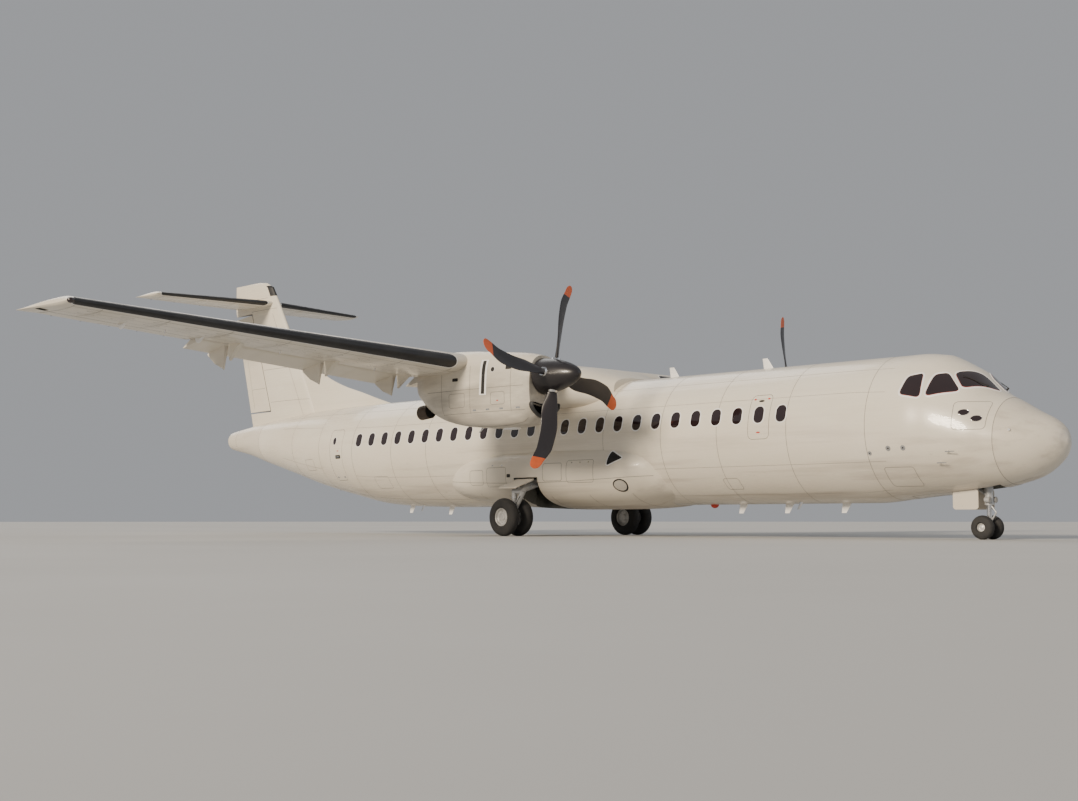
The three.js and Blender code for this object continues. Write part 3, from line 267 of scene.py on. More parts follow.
def smooth(x, xs, ys):
    """A smooth curve through a table. Between two entries it is the cubic Hermite curve whose slope
    at an entry is the harmonic mean of the slopes beside it, and nought where they turn round."""
    xs, ys = np.asarray(xs, float), np.asarray(ys, float)
    step = np.diff(xs)
    slope = np.diff(ys) / step
    product = slope[:-1] * slope[1:]
    total = np.where(slope[:-1] + slope[1:] == 0, 1.0, slope[:-1] + slope[1:])
    tangent = np.concatenate([[slope[0]], np.where(product > 0, 2 * product / total, 0), [slope[-1]]])
    x = np.clip(np.asarray(x, float), xs[0], xs[-1])
    i = np.clip(np.searchsorted(xs, x, side="right") - 1, 0, len(step) - 1)
    t = (x - xs[i]) / step[i]
    return (
        (2 * t ** 3 - 3 * t ** 2 + 1) * ys[i]
        + (t ** 3 - 2 * t ** 2 + t) * step[i] * tangent[i]
        + (3 * t ** 2 - 2 * t ** 3) * ys[i + 1]
        + (t ** 3 - t ** 2) * step[i] * tangent[i + 1]
    )


def columns_at(table, s):
    """Every column of a ring table at stations s, by the smooth curve through the table."""
    return [smooth(s, table[:, 0], table[:, k]) for k in range(1, table.shape[1])]


def signed_power(value, power):
    """|value| to a power, with the sign of value."""
    return np.sign(value) * np.abs(value) ** power


def steps(a, b, longest):
    """Evenly spaced values from a to b, no further apart than longest."""
    return np.linspace(a, b, max(2, int(math.ceil(abs(b - a) / longest)) + 1))


def full_turn(count):
    """Evenly spaced angles once round."""
    return np.linspace(0, 2 * math.pi, count, endpoint=False)


def points_of(x, y, z):
    """Points from three coordinates whose shapes fit each other."""
    return np.stack(np.broadcast_arrays(x, y, z), -1)


def unit(vectors):
    """Vectors brought to a length of one."""
    return vectors / np.maximum(np.linalg.norm(vectors, axis=-1, keepdims=True), 1e-12)


def grid_quads(rows, columns, wrap):
    """Quads of a grid of rows by columns, the columns closed round where wrap is true."""
    r, c = np.meshgrid(np.arange(rows - 1), np.arange(columns if wrap else columns - 1), indexing="ij")
    right = (c + 1) % columns
    quads = [r * columns + c, r * columns + right, (r + 1) * columns + right, (r + 1) * columns + c]
    return np.stack(quads, -1).reshape(-1, 4)


def volume_of(points, faces):
    """Six times the volume inside closed faces: the sum of a . (b x c) over their triangles."""
    total = 0.0
    for block in faces:
        for k in range(1, block.shape[1] - 1):
            a, b, c = points[block[:, 0]], points[block[:, k]], points[block[:, k + 1]]
            total += float(np.sum(a * np.cross(b, c)))
    return total


def sheet(points, finish=None, flip=False, wrap=False):
    """An open surface from a grid of points, its columns closed round where wrap is true."""
    quads = grid_quads(*points.shape[:2], wrap)
    return points.reshape(-1, 3), [quads[:, ::-1] if flip else quads], finish


def closed(points, finish=None):
    """A closed body from a grid of points whose columns close round: each end row is closed by
    triangles to its middle. Its faces are turned to point outwards."""
    rows, columns = points.shape[:2]
    quads = grid_quads(rows, columns, True)
    flat = points.reshape(-1, 3)
    ends = np.stack([points[0].mean(axis=0), points[-1].mean(axis=0)])
    around = np.arange(columns)
    after = (around + 1) % columns
    low = np.stack([after, around, np.full(columns, len(flat))], -1)
    top = (rows - 1) * columns
    high = np.stack([top + around, top + after, np.full(columns, len(flat) + 1)], -1)
    points = np.vstack([flat, ends])
    faces = [quads, low, high]
    if volume_of(points - points.mean(axis=0), faces) < 0:
        faces = [block[:, ::-1] for block in faces]
    return points, faces, finish


def looped(points, finish=None):
    """A ring-shaped body from a grid of points whose rows and columns both close round. Its faces
    are turned to point outwards."""
    rows, columns = points.shape[:2]
    flat = points.reshape(-1, 3)
    quads = grid_quads(rows + 1, columns, True) % len(flat)
    if volume_of(flat - flat.mean(axis=0), [quads]) < 0:
        quads = quads[:, ::-1]
    return flat, [quads], finish


def mirrored(surface):
    """The same surface on the other side of the airliner."""
    points, faces, finish = surface
    return points * [-1, 1, 1], [block[:, ::-1] for block in faces], finish


def both_sides(surfaces):
    """Port surfaces and their mirror images."""
    return surfaces + [mirrored(surface) for surface in surfaces]


def turned_about(points, pivot, axis, angle):
    """Points turned about a line: v cos + (k x v) sin + k (k . v)(1 - cos)."""
    k = np.asarray(axis, float) / np.linalg.norm(axis)
    v = points - pivot
    return (
        pivot + v * math.cos(angle) + np.cross(k, v) * math.sin(angle)
        + np.outer(v.reshape(-1, 3) @ k, k).reshape(v.shape) * (1 - math.cos(angle))
    )


def rod(a, b, ra, rb=None, sides=16, finish=None):
    """A round bar from a to b: its rings are circles of radii ra and rb square to its line."""
    a, b = np.asarray(a, float), np.asarray(b, float)
    along = unit(b - a)
    helper = np.array([1.0, 0, 0]) if abs(along[0]) < 0.9 else np.array([0, 0, 1.0])
    u = unit(np.cross(along, helper))
    t = full_turn(sides)[:, None]
    circle = np.cos(t) * u + np.sin(t) * np.cross(along, u)
    return closed(np.stack([a + circle * ra, b + circle * (ra if rb is None else rb)]), finish)


def at(x, s, z):
    """A point by its place to port, its station and its level."""
    return np.array([x, aft(s), z])


def bar(a, b, *sizes, **more):
    """A rod between two places, each given to port, by its station and by its level."""
    return rod(at(*a), at(*b), *sizes, **more)


def box(x0, x1, s0, s1, z0, z1):
    """A plain block between two stations."""
    ring = np.array([[x0, z0], [x1, z0], [x1, z1], [x0, z1]])
    return closed(np.stack([points_of(ring[:, 0], aft(s), ring[:, 1]) for s in (s0, s1)]))


def turned(profile, centre, axis, sides, finish=None, shape=closed):
    """A solid of revolution about X or Y: profile rows are [distance along the axis, radius]."""
    profile = np.asarray(profile, float)
    t = full_turn(sides)
    along = np.repeat(profile[:, :1], sides, axis=1)
    a, b = profile[:, 1:] * np.cos(t), profile[:, 1:] * np.sin(t)
    parts = [along, a, b] if axis == "x" else [a, along, b]
    return shape(np.stack(parts, -1) + np.asarray(centre, float), finish)


def tube(path, radius, sides, finish=None):
    """A round tube along a path: rings square to the path's own direction at each of its points."""
    along = unit(np.gradient(path, axis=0))
    u = unit(np.cross(along, [0.31, 0.22, 0.92]))[:, None]
    v = np.cross(along, u[:, 0])[:, None]
    t = full_turn(sides)[:, None]
    return closed(path[:, None] + radius * (np.cos(t) * u + np.sin(t) * v), finish)


# Pieces

def make_piece(
    name, surfaces, finishes, node=None, body="airframe", sharp=SMOOTH_ANGLE,
):
    """A mesh object from surfaces, riding on a body, in place of a CAD node where one is named.
    finishes names its finishes in order, and a surface that names none has the first of them.
    Its faces are smooth up to an angle in degrees."""
    order = finishes.split()
    points, faces, indices = [], [], []
    first = 0
    for surface_points, blocks, finish in surfaces:
        points.append(surface_points)
        for block in blocks:
            faces.extend((block + first).tolist())
            indices.append(np.full(len(block), order.index(finish) if finish else 0))
        first += len(surface_points)
    mesh = bpy.data.meshes.new(name)
    mesh.from_pydata(np.vstack(points).tolist(), [], faces)
    mesh.polygons.foreach_set("material_index", np.concatenate(indices).astype(np.int32))
    for finish in order:
        mesh.materials.append(FINISHES[finish])
    obj = bpy.data.objects.new(name, mesh)
    bpy.context.collection.objects.link(obj)
    soften(mesh, sharp)
    if body:
        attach(obj, body)
    if node:
        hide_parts(node)
    return obj


def each_side(name, surfaces, finishes, node=None, body="airframe"):
    """The port piece and its mirror image. body and node are names without their side."""
    made = []
    for side, shapes in (("_left", surfaces), ("_right", [mirrored(s) for s in surfaces])):
        rides = body if body == "airframe" else body + side
        made.append(make_piece(name + side, shapes, finishes, node and node + side, rides))
    return made


def soften(mesh, sharp=SMOOTH_ANGLE):
    """Smooth shading, with the edges sharper than an angle in degrees kept crisp."""
    mesh.update()
    mesh.shade_smooth()
    mesh.set_sharp_from_angle(angle=math.radians(sharp))


def baked(obj):
    """Makes an object's modifiers part of its mesh."""
    depsgraph = bpy.context.evaluated_depsgraph_get()
    mesh = bpy.data.meshes.new_from_object(obj.evaluated_get(depsgraph))
    old = obj.data
    obj.modifiers.clear()
    obj.data = mesh
    bpy.data.meshes.remove(old)
    mesh.name = obj.name
    soften(mesh)


def carve(obj, cutters, finish):
    """Takes closed surfaces out of a piece. What they uncover gets a finish of its own."""
    tools = [make_piece("cutter", [cutter], finish, body=None) for cutter in cutters]
    for tool in tools:
        cut = obj.modifiers.new("cut", "BOOLEAN")
        cut.operation = "DIFFERENCE"
        cut.solver = "EXACT"
        cut.material_mode = "TRANSFER"
        cut.object = tool
    baked(obj)
    for tool in tools:
        mesh = tool.data
        bpy.data.objects.remove(tool)
        bpy.data.meshes.remove(mesh)


def carve_each(pair, cutters, finish):
    """Takes port surfaces out of the port piece, and their mirror images out of the other."""
    carve(pair[0], cutters, finish)
    carve(pair[1], [mirrored(cutter) for cutter in cutters], finish)


def walled(obj, thickness):
    """Gives a sheet a wall of a thickness, inwards from its face."""
    wall = obj.modifiers.new("wall", "SOLIDIFY")
    wall.thickness = thickness
    wall.offset = -1
    wall.use_even_offset = True
    baked(obj)


# Finishes

def principled(name, colour, roughness, metallic=0.0, coat=0.0):
    """A material with one shader node."""
    material = bpy.data.materials.new(name)
    material.use_nodes = True
    inputs = material.node_tree.nodes["Principled BSDF"].inputs
    inputs["Base Color"].default_value = (*colour, 1)
    inputs["Roughness"].default_value = roughness
    inputs["Metallic"].default_value = metallic
    inputs["Coat Weight"].default_value = coat
    return material


def add_node(tree, kind, values=(), links=(), **settings):
    """A new node: its settings, then what its inputs hold, then what they are linked to."""
    made = tree.nodes.new("ShaderNode" + kind)
    for name, setting in settings.items():
        setattr(made, name, setting)
    for name, value in dict(values).items():
        made.inputs[name].default_value = value
    for name, source in dict(links).items():
        tree.links.new(source, made.inputs[name])
    return made


def shaded(tree, **links):
    """Links what the shader's inputs show: keywords are their names with _ for a space."""
    for name, source in links.items():
        tree.links.new(source, tree.nodes["Principled BSDF"].inputs[name.replace("_", " ")])


def noise_at(tree, place, scale, stretch, detail=8, roughness=0.6):
    """noise(stretch * position), from 0 to 1."""
    mapping = add_node(tree, "Mapping", {"Scale": stretch}, {"Vector": place})
    values = {"Scale": scale, "Detail": detail, "Roughness": roughness}
    return add_node(tree, "TexNoise", values, {"Vector": mapping.outputs["Vector"]}).outputs["Fac"]


def weathered(
    name, colour, soiled, roughness, amount, scale, stretch=(1, 1, 1), metallic=0.0, coat=0.0, grain=0.0,
):
    """A finish whose colour drifts towards a soiled one in soft streaks on Object coordinates,
    noise(stretch * position), and whose gloss drifts with it."""
    material = principled(name, colour, roughness, metallic, coat)
    tree = material.node_tree
    place = add_node(tree, "TexCoord").outputs["Object"]
    streaks = noise_at(tree, place, scale, stretch, 7, 0.62)
    ramp = add_node(tree, "ValToRGB", links={"Fac": streaks})
    mixed = [c + (d - c) * amount for c, d in zip(colour, soiled)]
    for stop, position, shown in zip(ramp.color_ramp.elements, (0.42, 0.78), (colour, mixed)):
        stop.position = position
        stop.color = (*shown, 1)
    gloss = mapped(tree, streaks, 0.3, 0.75, roughness * 0.85, min(1.0, roughness * 1.35))
    shaded(tree, Base_Color=ramp.outputs["Color"], Roughness=gloss)
    if grain:
        roughen(tree, place, scale * 40, grain, 0.001)
    return material


def roughen(tree, place, scale, strength, distance):
    """Gives a material a fine noise bump."""
    fine = add_node(tree, "TexNoise", {"Scale": scale}, {"Vector": place})
    values = {"Strength": strength, "Distance": distance}
    bump = add_node(tree, "Bump", values, {"Height": fine.outputs["Fac"]})
    shaded(tree, Normal=bump.outputs["Normal"])


def grime(tree, place, scale, stretch, low, high):
    """A mask from 0 to 1: noise(stretch * position) between two of its levels."""
    return mapped(tree, noise_at(tree, place, scale, stretch), low, high)


def mapped(tree, value, low, high, first=0, last=1):
    """A value between two levels taken to another two, and held there beyond them."""
    values = {"From Min": low, "From Max": high, "To Min": first, "To Max": last}
    return add_node(tree, "MapRange", values, {"Value": value}).outputs["Result"]


def product(tree, a, b):
    """The product of two masks."""
    return add_node(tree, "Math", links={0: a, 1: b}, operation="MULTIPLY").outputs["Value"]


def tinted(tree, colour, mask, strength, tint):
    """A colour with a tint laid over it where a mask says, up to a strength."""
    links = {"Factor": mapped(tree, mask, 0, 1, 0, strength), "A": colour}
    return add_node(tree, "Mix", {"B": (*tint, 1)}, links, data_type="RGBA").outputs["Result"]


def airliner_paint(name, colour, soil_and_shade, roughness, coat, low_level, high_level, dirt_and_shade):
    """Gloss paint that has flown: a faint drift of tone, streaks that trail aft, a brown tint that grows
    downwards from one level to another, partly soiling and partly painted shade, and soot trailing aft
    of both exhausts."""
    material = principled(name, colour, roughness, coat=coat)
    tree = material.node_tree
    place = add_node(tree, "TexCoord").outputs["Object"]
    parts = add_node(tree, "SeparateXYZ", links={"Vector": place}).outputs
    faded = [c * k for c, k in zip(colour, FADING)]
    drift = grime(tree, place, 0.7, (1, 0.5, 1), 0.35, 0.7)
    ends = {"A": (*colour, 1), "B": (*faded, 1)}
    painted = add_node(tree, "Mix", ends, {"Factor": drift}, data_type="RGBA").outputs["Result"]
    streaks = grime(tree, place, 2.6, (1.0, 0.09, 1.6), 0.5, 0.72)
    spots = grime(tree, place, 9.0, (1, 0.5, 1), 0.66, 0.74)
    # Darker and browner towards the bottom: an even tint that is partly soiling and partly painted shade,
    # then streaks and spots of soiling.
    low = mapped(tree, parts["Z"], high_level, low_level, 0.18, 1.0)
    painted = tinted(tree, painted, mapped(tree, low, 0.18, 1), dirt_and_shade * 0.4, soil_and_shade)
    painted = tinted(tree, painted, product(tree, streaks, low), dirt_and_shade, soil_and_shade)
    painted = tinted(tree, painted, product(tree, spots, low), 0.3, SPOT_COLOUR)
    side = add_node(tree, "Math", links={0: parts["X"]}, operation="ABSOLUTE").outputs["Value"]
    along = mapped(tree, parts["Y"], -1.0, 9.0, -1.0, 1.6)
    shifted = add_node(tree, "CombineXYZ", links={"X": side, "Y": along, "Z": parts["Z"]})
    ends = {1: (NACELLE_X + 0.2, aft(13.0), 2.9)}, {0: shifted.outputs["Vector"]}
    reach = add_node(tree, "VectorMath", *ends, operation="DISTANCE").outputs["Value"]
    near, patchy = mapped(tree, reach, 1.1, 0.25), grime(tree, place, 3.0, (1, 0.2, 1), 0.25, 0.6)
    painted = tinted(tree, painted, product(tree, near, patchy), 0.75, SOOT_COLOUR)
    gloss = mapped(tree, streaks, 0, 1, roughness, min(1.0, roughness * 1.7))
    shaded(tree, Base_Color=painted, Roughness=gloss)
    roughen(tree, place, 2.2, 0.12, 0.012)
    return material


def length(name, description, default):
    """A setting in metres."""
    return FloatProperty(name=name, description=description, default=default, unit="LENGTH")


def colour_of(name, description, default):
    """A setting that is a colour."""
    return FloatVectorProperty(name=name, description=description, default=default, subtype="COLOR")


class AirlinerSizes(bpy.types.PropertyGroup):
    """Sizes of the fittings that a user may change."""

    window_width: length("Window width", "Width of a cabin window", 0.235)
    window_height: length("Window height", "Height of a cabin window", 0.335)
    window_pitch: length("Window pitch", "Distance between cabin windows", 0.549)
    window_count: IntProperty(name="Windows", description="Cabin windows a side", default=26, min=1)
    boot_reach: FloatProperty(
        name="Boot reach", description="Share of the chord that a de-icing boot covers",
        default=0.055, subtype="FACTOR",
    )
    seam_width: length("Seam width", "Width of a panel seam", 0.009)
    camera_distance: length("Camera distance", "Camera to the middle of the airliner", 36.0)
    camera_height: length("Camera height", "Camera above the floor", 0.35)
    camera_turn: FloatProperty(
        name="Camera turn", description="Camera's bearing round the airliner",
        default=math.radians(-44.4), subtype="ANGLE",
    )
    lens: FloatProperty(name="Lens", description="Focal length of the camera in millimetres", default=49.0)


class AirlinerColours(bpy.types.PropertyGroup):
    """Colours of the finishes."""

    paint: colour_of("Paint", "Warm white paint", (0.79, 0.735, 0.63))
    # This colour tints the paint towards the bottom: partly soiling, partly painted shade.
    soil_and_shade: colour_of("Soil and shade", "Oil and exhaust soiling on the paint, and painted shade low down", (0.36, 0.31, 0.26))
    boot: colour_of("Boot", "Rubber of the de-icing boots", (0.012, 0.012, 0.014))
    glass: colour_of("Glass", "Dark cabin and cockpit glass", (0.02, 0.011, 0.012))
    # Near black: the glass's own tint together with painted shade of the cabin and cockpit behind the panes.
    tip: colour_of("Blade tip", "Warning colour of the blade tips", (0.75, 0.13, 0.03))
    seam: colour_of("Seam", "Shadow in a panel seam", (0.2, 0.185, 0.165))


FINISHES = {}


def make_finishes(colours):
    """Every finish of the airliner, by name."""
    paint, soil_and_shade = tuple(colours.paint), tuple(colours.soil_and_shade)
    lower = tuple(c * 0.97 for c in paint)
    FINISHES.update(
        # Each paint is tinted towards the soil colour low down, partly soiling and partly painted shade; the
        # belly most.
        paint=airliner_paint("warm white paint", paint, soil_and_shade, 0.27, 0.3, 0.9, 2.6, 0.75),
        wing=airliner_paint("wing paint", lower, soil_and_shade, 0.33, 0.2, 2.5, 3.9, 0.55),
        composite=airliner_paint("fairing paint", lower, soil_and_shade, 0.34, 0.2, 2.2, 3.6, 0.6),
        belly=airliner_paint("belly paint with soiling and painted shade", lower, soil_and_shade, 0.38, 0.12, 0.6, 1.9, 0.85),
        boot=weathered("de-icing rubber", tuple(colours.boot), (0.05, 0.05, 0.05), 0.42, 0.6, 2.2),
        bay=weathered("wheel bay primer", (0.2, 0.2, 0.18), (0.05, 0.05, 0.05), 0.6, 0.6, 3.0),
        steel=weathered(
            "grey gear enamel", (0.5, 0.51, 0.52), (0.16, 0.15, 0.13), 0.36, 0.5, 6.0, metallic=0.25,
        ),
        rim=weathered("wheel enamel", (0.62, 0.61, 0.59), (0.14, 0.13, 0.12), 0.4, 0.6, 9.0, metallic=0.3),
        tyre=weathered("tyre rubber", (0.022, 0.022, 0.023), (0.07, 0.065, 0.06), 0.78, 0.6, 7.0, grain=0.3),
    )
    # Name, colour, roughness, metallic and coat of the finishes that wear alike.
    for key, (name, colour, *gloss) in {
        "trim": ("light trim", (0.93, 0.92, 0.9), 0.3, 0, 0),
        "black": ("satin black", (0.016, 0.014, 0.016), 0.32, 0, 0.2),
        "blade": ("blade black", (0.02, 0.017, 0.02), 0.36, 0, 0.1),
        "tip": ("blade tip warning colour", tuple(colours.tip), 0.4, 0, 0),
        # The glass is near black: its own tint together with painted shade of the cabin and cockpit behind
        # it.
        "glass": ("dark glass", tuple(colours.glass), 0.06, 0, 0.6),
        "lens": ("lamp glass", (0.42, 0.39, 0.34), 0.08, 0, 0.8),
        "red": ("red marking", (0.55, 0.05, 0.03), 0.45, 0, 0),
        # Near black: the colour of dark parts, and painted shade in the gaps, holes and openings it is given
        # to.
        "dark": ("dark parts and painted shade", (0.02, 0.019, 0.018), 0.8, 0, 0),
        "cabin": ("entrance lining", (0.5, 0.48, 0.44), 0.6, 0, 0),
        "seam": ("seam shadow", tuple(colours.seam), 0.7, 0, 0),
        "bright": ("polished metal", (0.72, 0.72, 0.72), 0.18, 1, 0),
        "engine": ("engine metal", (0.32, 0.31, 0.3), 0.45, 0.9, 0),
        "hot": ("heat-stained metal", (0.09, 0.07, 0.055), 0.5, 0.7, 0),
        "hose": ("hose rubber", (0.03, 0.03, 0.03), 0.6, 0, 0),
    }.items():
        worn = tuple(c * 0.62 for c in colour)
        roughness, metallic, coat = gloss
        FINISHES[key] = weathered(name, colour, worn, roughness, 0.6, 3.5, (1, 0.6, 1), metallic, coat)


# Fuselage

def skin(s, turn, lift=0.0):
    """A point on the fuselage: an upright half ellipse above its widest level and another below.
    x = w sin t, z = level + h cos t, where h is the height above or the depth below, t from the top."""
    half_width, level, up, down = columns_at(FUSELAGE, s)
    c = np.cos(turn)
    reach = np.where(c > 0, up, down)
    return points_of((half_width + lift) * np.sin(turn), aft(s), level + (reach + lift) * c)


def turn_at_level(s, z):
    """The turn from the top, to port, at which the fuselage skin passes a level."""
    _, level, up, down = columns_at(FUSELAGE, s)
    reach = np.where(z > level, up, down)
    return np.arccos(np.clip((z - level) / reach, -1, 1))


def fuselage_rows(s0, s1, longest):
    """Rings of the fuselage skin from one station to another, closer together where the nose
    curves most."""
    s = steps(s0, s1, longest)
    if s0 < NOSE_CURVE_END:
        t = np.linspace(0, 1, 60)
        s = s0 + (s1 - s0) * (t ** 1.6 if s0 == 0 else t)
    return skin(s[:, None], full_turn(96))


def rounded_outline(half_width, half_height, corner, arc=10, edge=12):
    """Offsets round a rectangle with round corners: each quarter's arc, r (cos t, sin t), is
    centred inside its corner, and evenly spaced points join it to the next."""
    t = np.linspace(0, math.pi / 2, arc)
    centres = [(1, 1), (-1, 1), (-1, -1), (1, -1)]
    arcs = [
        np.column_stack([
            a * (half_width - corner) + corner * np.cos(t + k * math.pi / 2),
            b * (half_height - corner) + corner * np.sin(t + k * math.pi / 2),
        ])
        for k, (a, b) in enumerate(centres)
    ]
    u = np.linspace(0, 1, edge + 2)[1:-1, None]
    pieces = []
    for k in range(4):
        last, first = arcs[k][-1], arcs[(k + 1) % 4][0]
        pieces += [arcs[k], last * (1 - u) + first * u]
    return np.vstack(pieces)


def side_prism(outline, x0, x1):
    """A closed prism across the airliner: outline rows are [station, level]."""
    return closed(np.stack([points_of(x, aft(outline[:, 0]), outline[:, 1]) for x in (x0, x1)]))


def door_outline(door, grow=0.0):
    """Stations and levels round a door's edge."""
    middle = np.array([(door["s0"] + door["s1"]) / 2, (door["z0"] + door["z1"]) / 2])
    half = np.array([(door["s1"] - door["s0"]) / 2, (door["z1"] - door["z0"]) / 2]) + grow
    return middle + rounded_outline(*half, door["corner"] + grow)


def doorway_cutter(door):
    """What a door takes out of the skin: its pocket, and the entrance behind it."""
    side, face = door["side"], fuselage_side(1)
    outline = door_outline(door, MOVING_GAP)
    edge = float(face(door["s0"], door["z1"])[0]) - 0.12
    pocket = float(face(outline[:, 0], outline[:, 1])[..., 0].min()) - POCKET_DEPTH
    return side_prism(outline, side * min(edge - door["depth"], pocket), side * 2.2)


def facing(surface, outward):
    """The same surface with its faces turned so that, taken together, they look outward."""
    points, blocks, finish = surface
    total = np.zeros(3)
    for block in blocks:
        a, b, c = points[block[:, 0]], points[block[:, 1]], points[block[:, 2]]
        total += np.cross(b - a, c - a).sum(axis=0)
    if float(total @ np.asarray(outward, float)) < 0:
        blocks = [block[:, ::-1] for block in blocks]
    return points, blocks, finish


def from_core(x, z):
    """The direction away from a line along the airliner, at each of a set of points."""
    return lambda points: (points - [x, 0, z]) * [1, 0, 1]


def towards(*direction):
    """One direction for every point."""
    return lambda points: np.broadcast_to(np.asarray(direction, float), points.shape)


def slopes(surface, u, v):
    """How far a surface moves for each unit of its two parameters, by central differences."""
    e = 1e-3
    along = (surface(u + e, v) - surface(u - e, v)) / (2 * e)
    return along, (surface(u, v + e) - surface(u, v - e)) / (2 * e)


def normals_on(surface, u, v, away):
    """A surface's outward directions: the cross product of its slopes, turned to face away."""
    normal = unit(np.cross(*slopes(surface, u, v)))
    inwards = (normal * away(surface(u, v))).sum(axis=-1, keepdims=True) < 0
    return np.where(inwards, -normal, normal)


BODY_CORE = from_core(0, 2.13)


def side_outline(side, outline):
    """Rows of [station, level] on one side as rows of [station, turn]."""
    return np.column_stack([outline[:, 0], side * turn_at_level(outline[:, 0], outline[:, 1])])


def patch_on(surface, outline, lift, away, finish=None, rings=8):
    """A filled patch on a surface: an outline of parameter pairs, drawn in ring by ring to its
    middle, each point standing off by a lift along the surface's own normal."""
    middle = outline.mean(axis=0)
    shares = np.linspace(1, 0, rings + 1)[:-1]
    places = middle + (outline - middle)[None] * shares[:, None, None]
    u, v = places[..., 0], places[..., 1]
    points = (surface(u, v) + normals_on(surface, u, v, away) * lift).reshape(-1, 3)
    normal = normals_on(surface, *middle, away)
    centre = surface(*middle) + normal * lift
    columns = len(outline)
    around = np.arange(columns)
    last = (rings - 1) * columns
    fan = np.stack([last + around, last + (around + 1) % columns, np.full(columns, len(points))], -1)
    return facing((np.vstack([points, centre]), [grid_quads(rings, columns, True), fan], finish), normal)


def rim_on(surface, outline, width, height, away, finish=None, inner=0.0):
    """A half-round rim round an outline on a surface: outwards by w (1 + cos t) / 2 from its inner
    edge, and up by h sin t."""
    t = np.linspace(0, math.pi, 9)
    middle = outline.mean(axis=0)
    metres = [float(np.linalg.norm(slope)) for slope in slopes(surface, *middle)]
    along = (np.roll(outline, -1, axis=0) - np.roll(outline, 1, axis=0)) * metres
    square = unit(np.column_stack([along[:, 1], -along[:, 0]]))
    outwards = ((outline - middle) * metres * square).sum() > 0
    direction = (square if outwards else -square) / metres
    out = inner + width * (1 + np.cos(t)) / 2
    places = outline[None] + direction[None] * out[:, None, None]
    u, v = places[..., 0], places[..., 1]
    lift = (height * np.sin(t) - RIM_SINK)[:, None, None]
    points = surface(u, v) + normals_on(surface, u, v, away) * lift
    return facing(sheet(points, finish, wrap=True), normals_on(surface, *middle, away))


def strip_on(surface, u, v, width, away, lift=SEAM_LIFT, finish="seam"):
    """A flat strip along a line of parameter pairs on a surface, half its width to each side."""
    line, normals = surface(u, v), normals_on(surface, u, v, away)
    across = unit(np.cross(normals, np.gradient(line, axis=0)))
    middle = line + normals * lift
    grid = np.stack([middle - across * width / 2, middle + across * width / 2], axis=1)
    first = np.cross(grid[0, 1] - grid[0, 0], grid[1, 1] - grid[0, 0])
    return sheet(grid, finish, flip=float(first @ normals[0]) < 0)


def strips_on(surface, away, width, lines, finish="seam", lift=SEAM_LIFT):
    """Strips along straight lines in a surface's two parameters. A line is its first pair, its
    last pair and how many points it has."""
    return [
        strip_on(surface, np.linspace(u0, u1, count), np.linspace(v0, v1, count), width, away, lift, finish)
        for u0, v0, u1, v1, count in lines
    ]


def outline_strip(surface, outline, width, away):
    """A seam round a closed outline on a surface."""
    ring = np.vstack([outline, outline[:2]])
    return strip_on(surface, ring[:, 0], ring[:, 1], width, away)


def oval(u, v, half_u, half_v):
    """An ellipse of parameter pairs about (u, v)."""
    t = full_turn(28)
    return np.column_stack([u + half_u * np.cos(t), v + half_v * np.sin(t)])


def plate(u, v, half_u, half_v, corner, arc=4, edge=4):
    """A rectangle with round corners, as parameter pairs about (u, v)."""
    return np.array([u, v]) + rounded_outline(half_u, half_v, corner, arc, edge)


def patches_on(surface, away, rows):
    """Filled patches on a surface. Each row is an outline, a lift, a finish and the rings."""
    return [patch_on(surface, outline, lift, away, finish, rings) for outline, lift, finish, rings in rows]


def rimmed(surface, away, outline, lift, finish, rings, width, height, rim_finish):
    """A filled patch on a surface, and the half-round rim round it."""
    patch = patch_on(surface, outline, lift, away, finish, rings)
    return [patch, rim_on(surface, outline, width, height, away, rim_finish)]


def seam_boxes(surface, away, width, boxes):
    """Seams round panels with round corners. A box is both ends of its first parameter, both ends
    of its second and the radius of its corners."""
    made = []
    for u0, u1, v0, v1, corner in boxes:
        outline = plate((u0 + u1) / 2, (v0 + v1) / 2, (u1 - u0) / 2, (v1 - v0) / 2, corner, 6, 10)
        made.append(outline_strip(surface, outline, width, away))
    return made


def rounded_polygon(corners, share=0.22, arc=7, edge=7):
    """A polygon with its corners rounded by quadratic curves, (1-t)^2 a + 2 t (1-t) c + t^2 b, that
    start and end a share of the way along its edges."""
    corners = np.asarray(corners, float)
    before, after = np.roll(corners, 1, axis=0), np.roll(corners, -1, axis=0)
    a, b = corners + (before - corners) * share, corners + (after - corners) * share
    t = np.linspace(0, 1, arc)[None, :, None]
    curves = (1 - t) ** 2 * a[:, None] + 2 * t * (1 - t) * corners[:, None] + t ** 2 * b[:, None]
    u = np.linspace(0, 1, edge + 2)[None, 1:-1, None]
    lines = b[:, None] * (1 - u) + np.roll(a, -1, axis=0)[:, None] * u
    return np.concatenate([curves, lines], axis=1).reshape(-1, 2)


def raised_sheet(grid, lift, outward, finish=None):
    """A sheet that stands off a grid of points by a lift, along the cross product of its slopes."""
    normal = unit(np.cross(np.gradient(grid, axis=0), np.gradient(grid, axis=1)))
    sign = 1.0 if float((normal @ np.asarray(outward, float)).sum()) > 0 else -1.0
    return sheet(grid + normal * sign * lift, finish, flip=sign > 0)


NOSE_BAY = dict(half_width=0.33, s0=1.18, s1=2.18, roof=1.26)
WHEEL_BAY = dict(x=0.545, r=0.5, roof=1.18)
LEG_BAY = dict(x0=0.545, x1=1.95, s0=11.93, s1=12.72, roof=1.345)


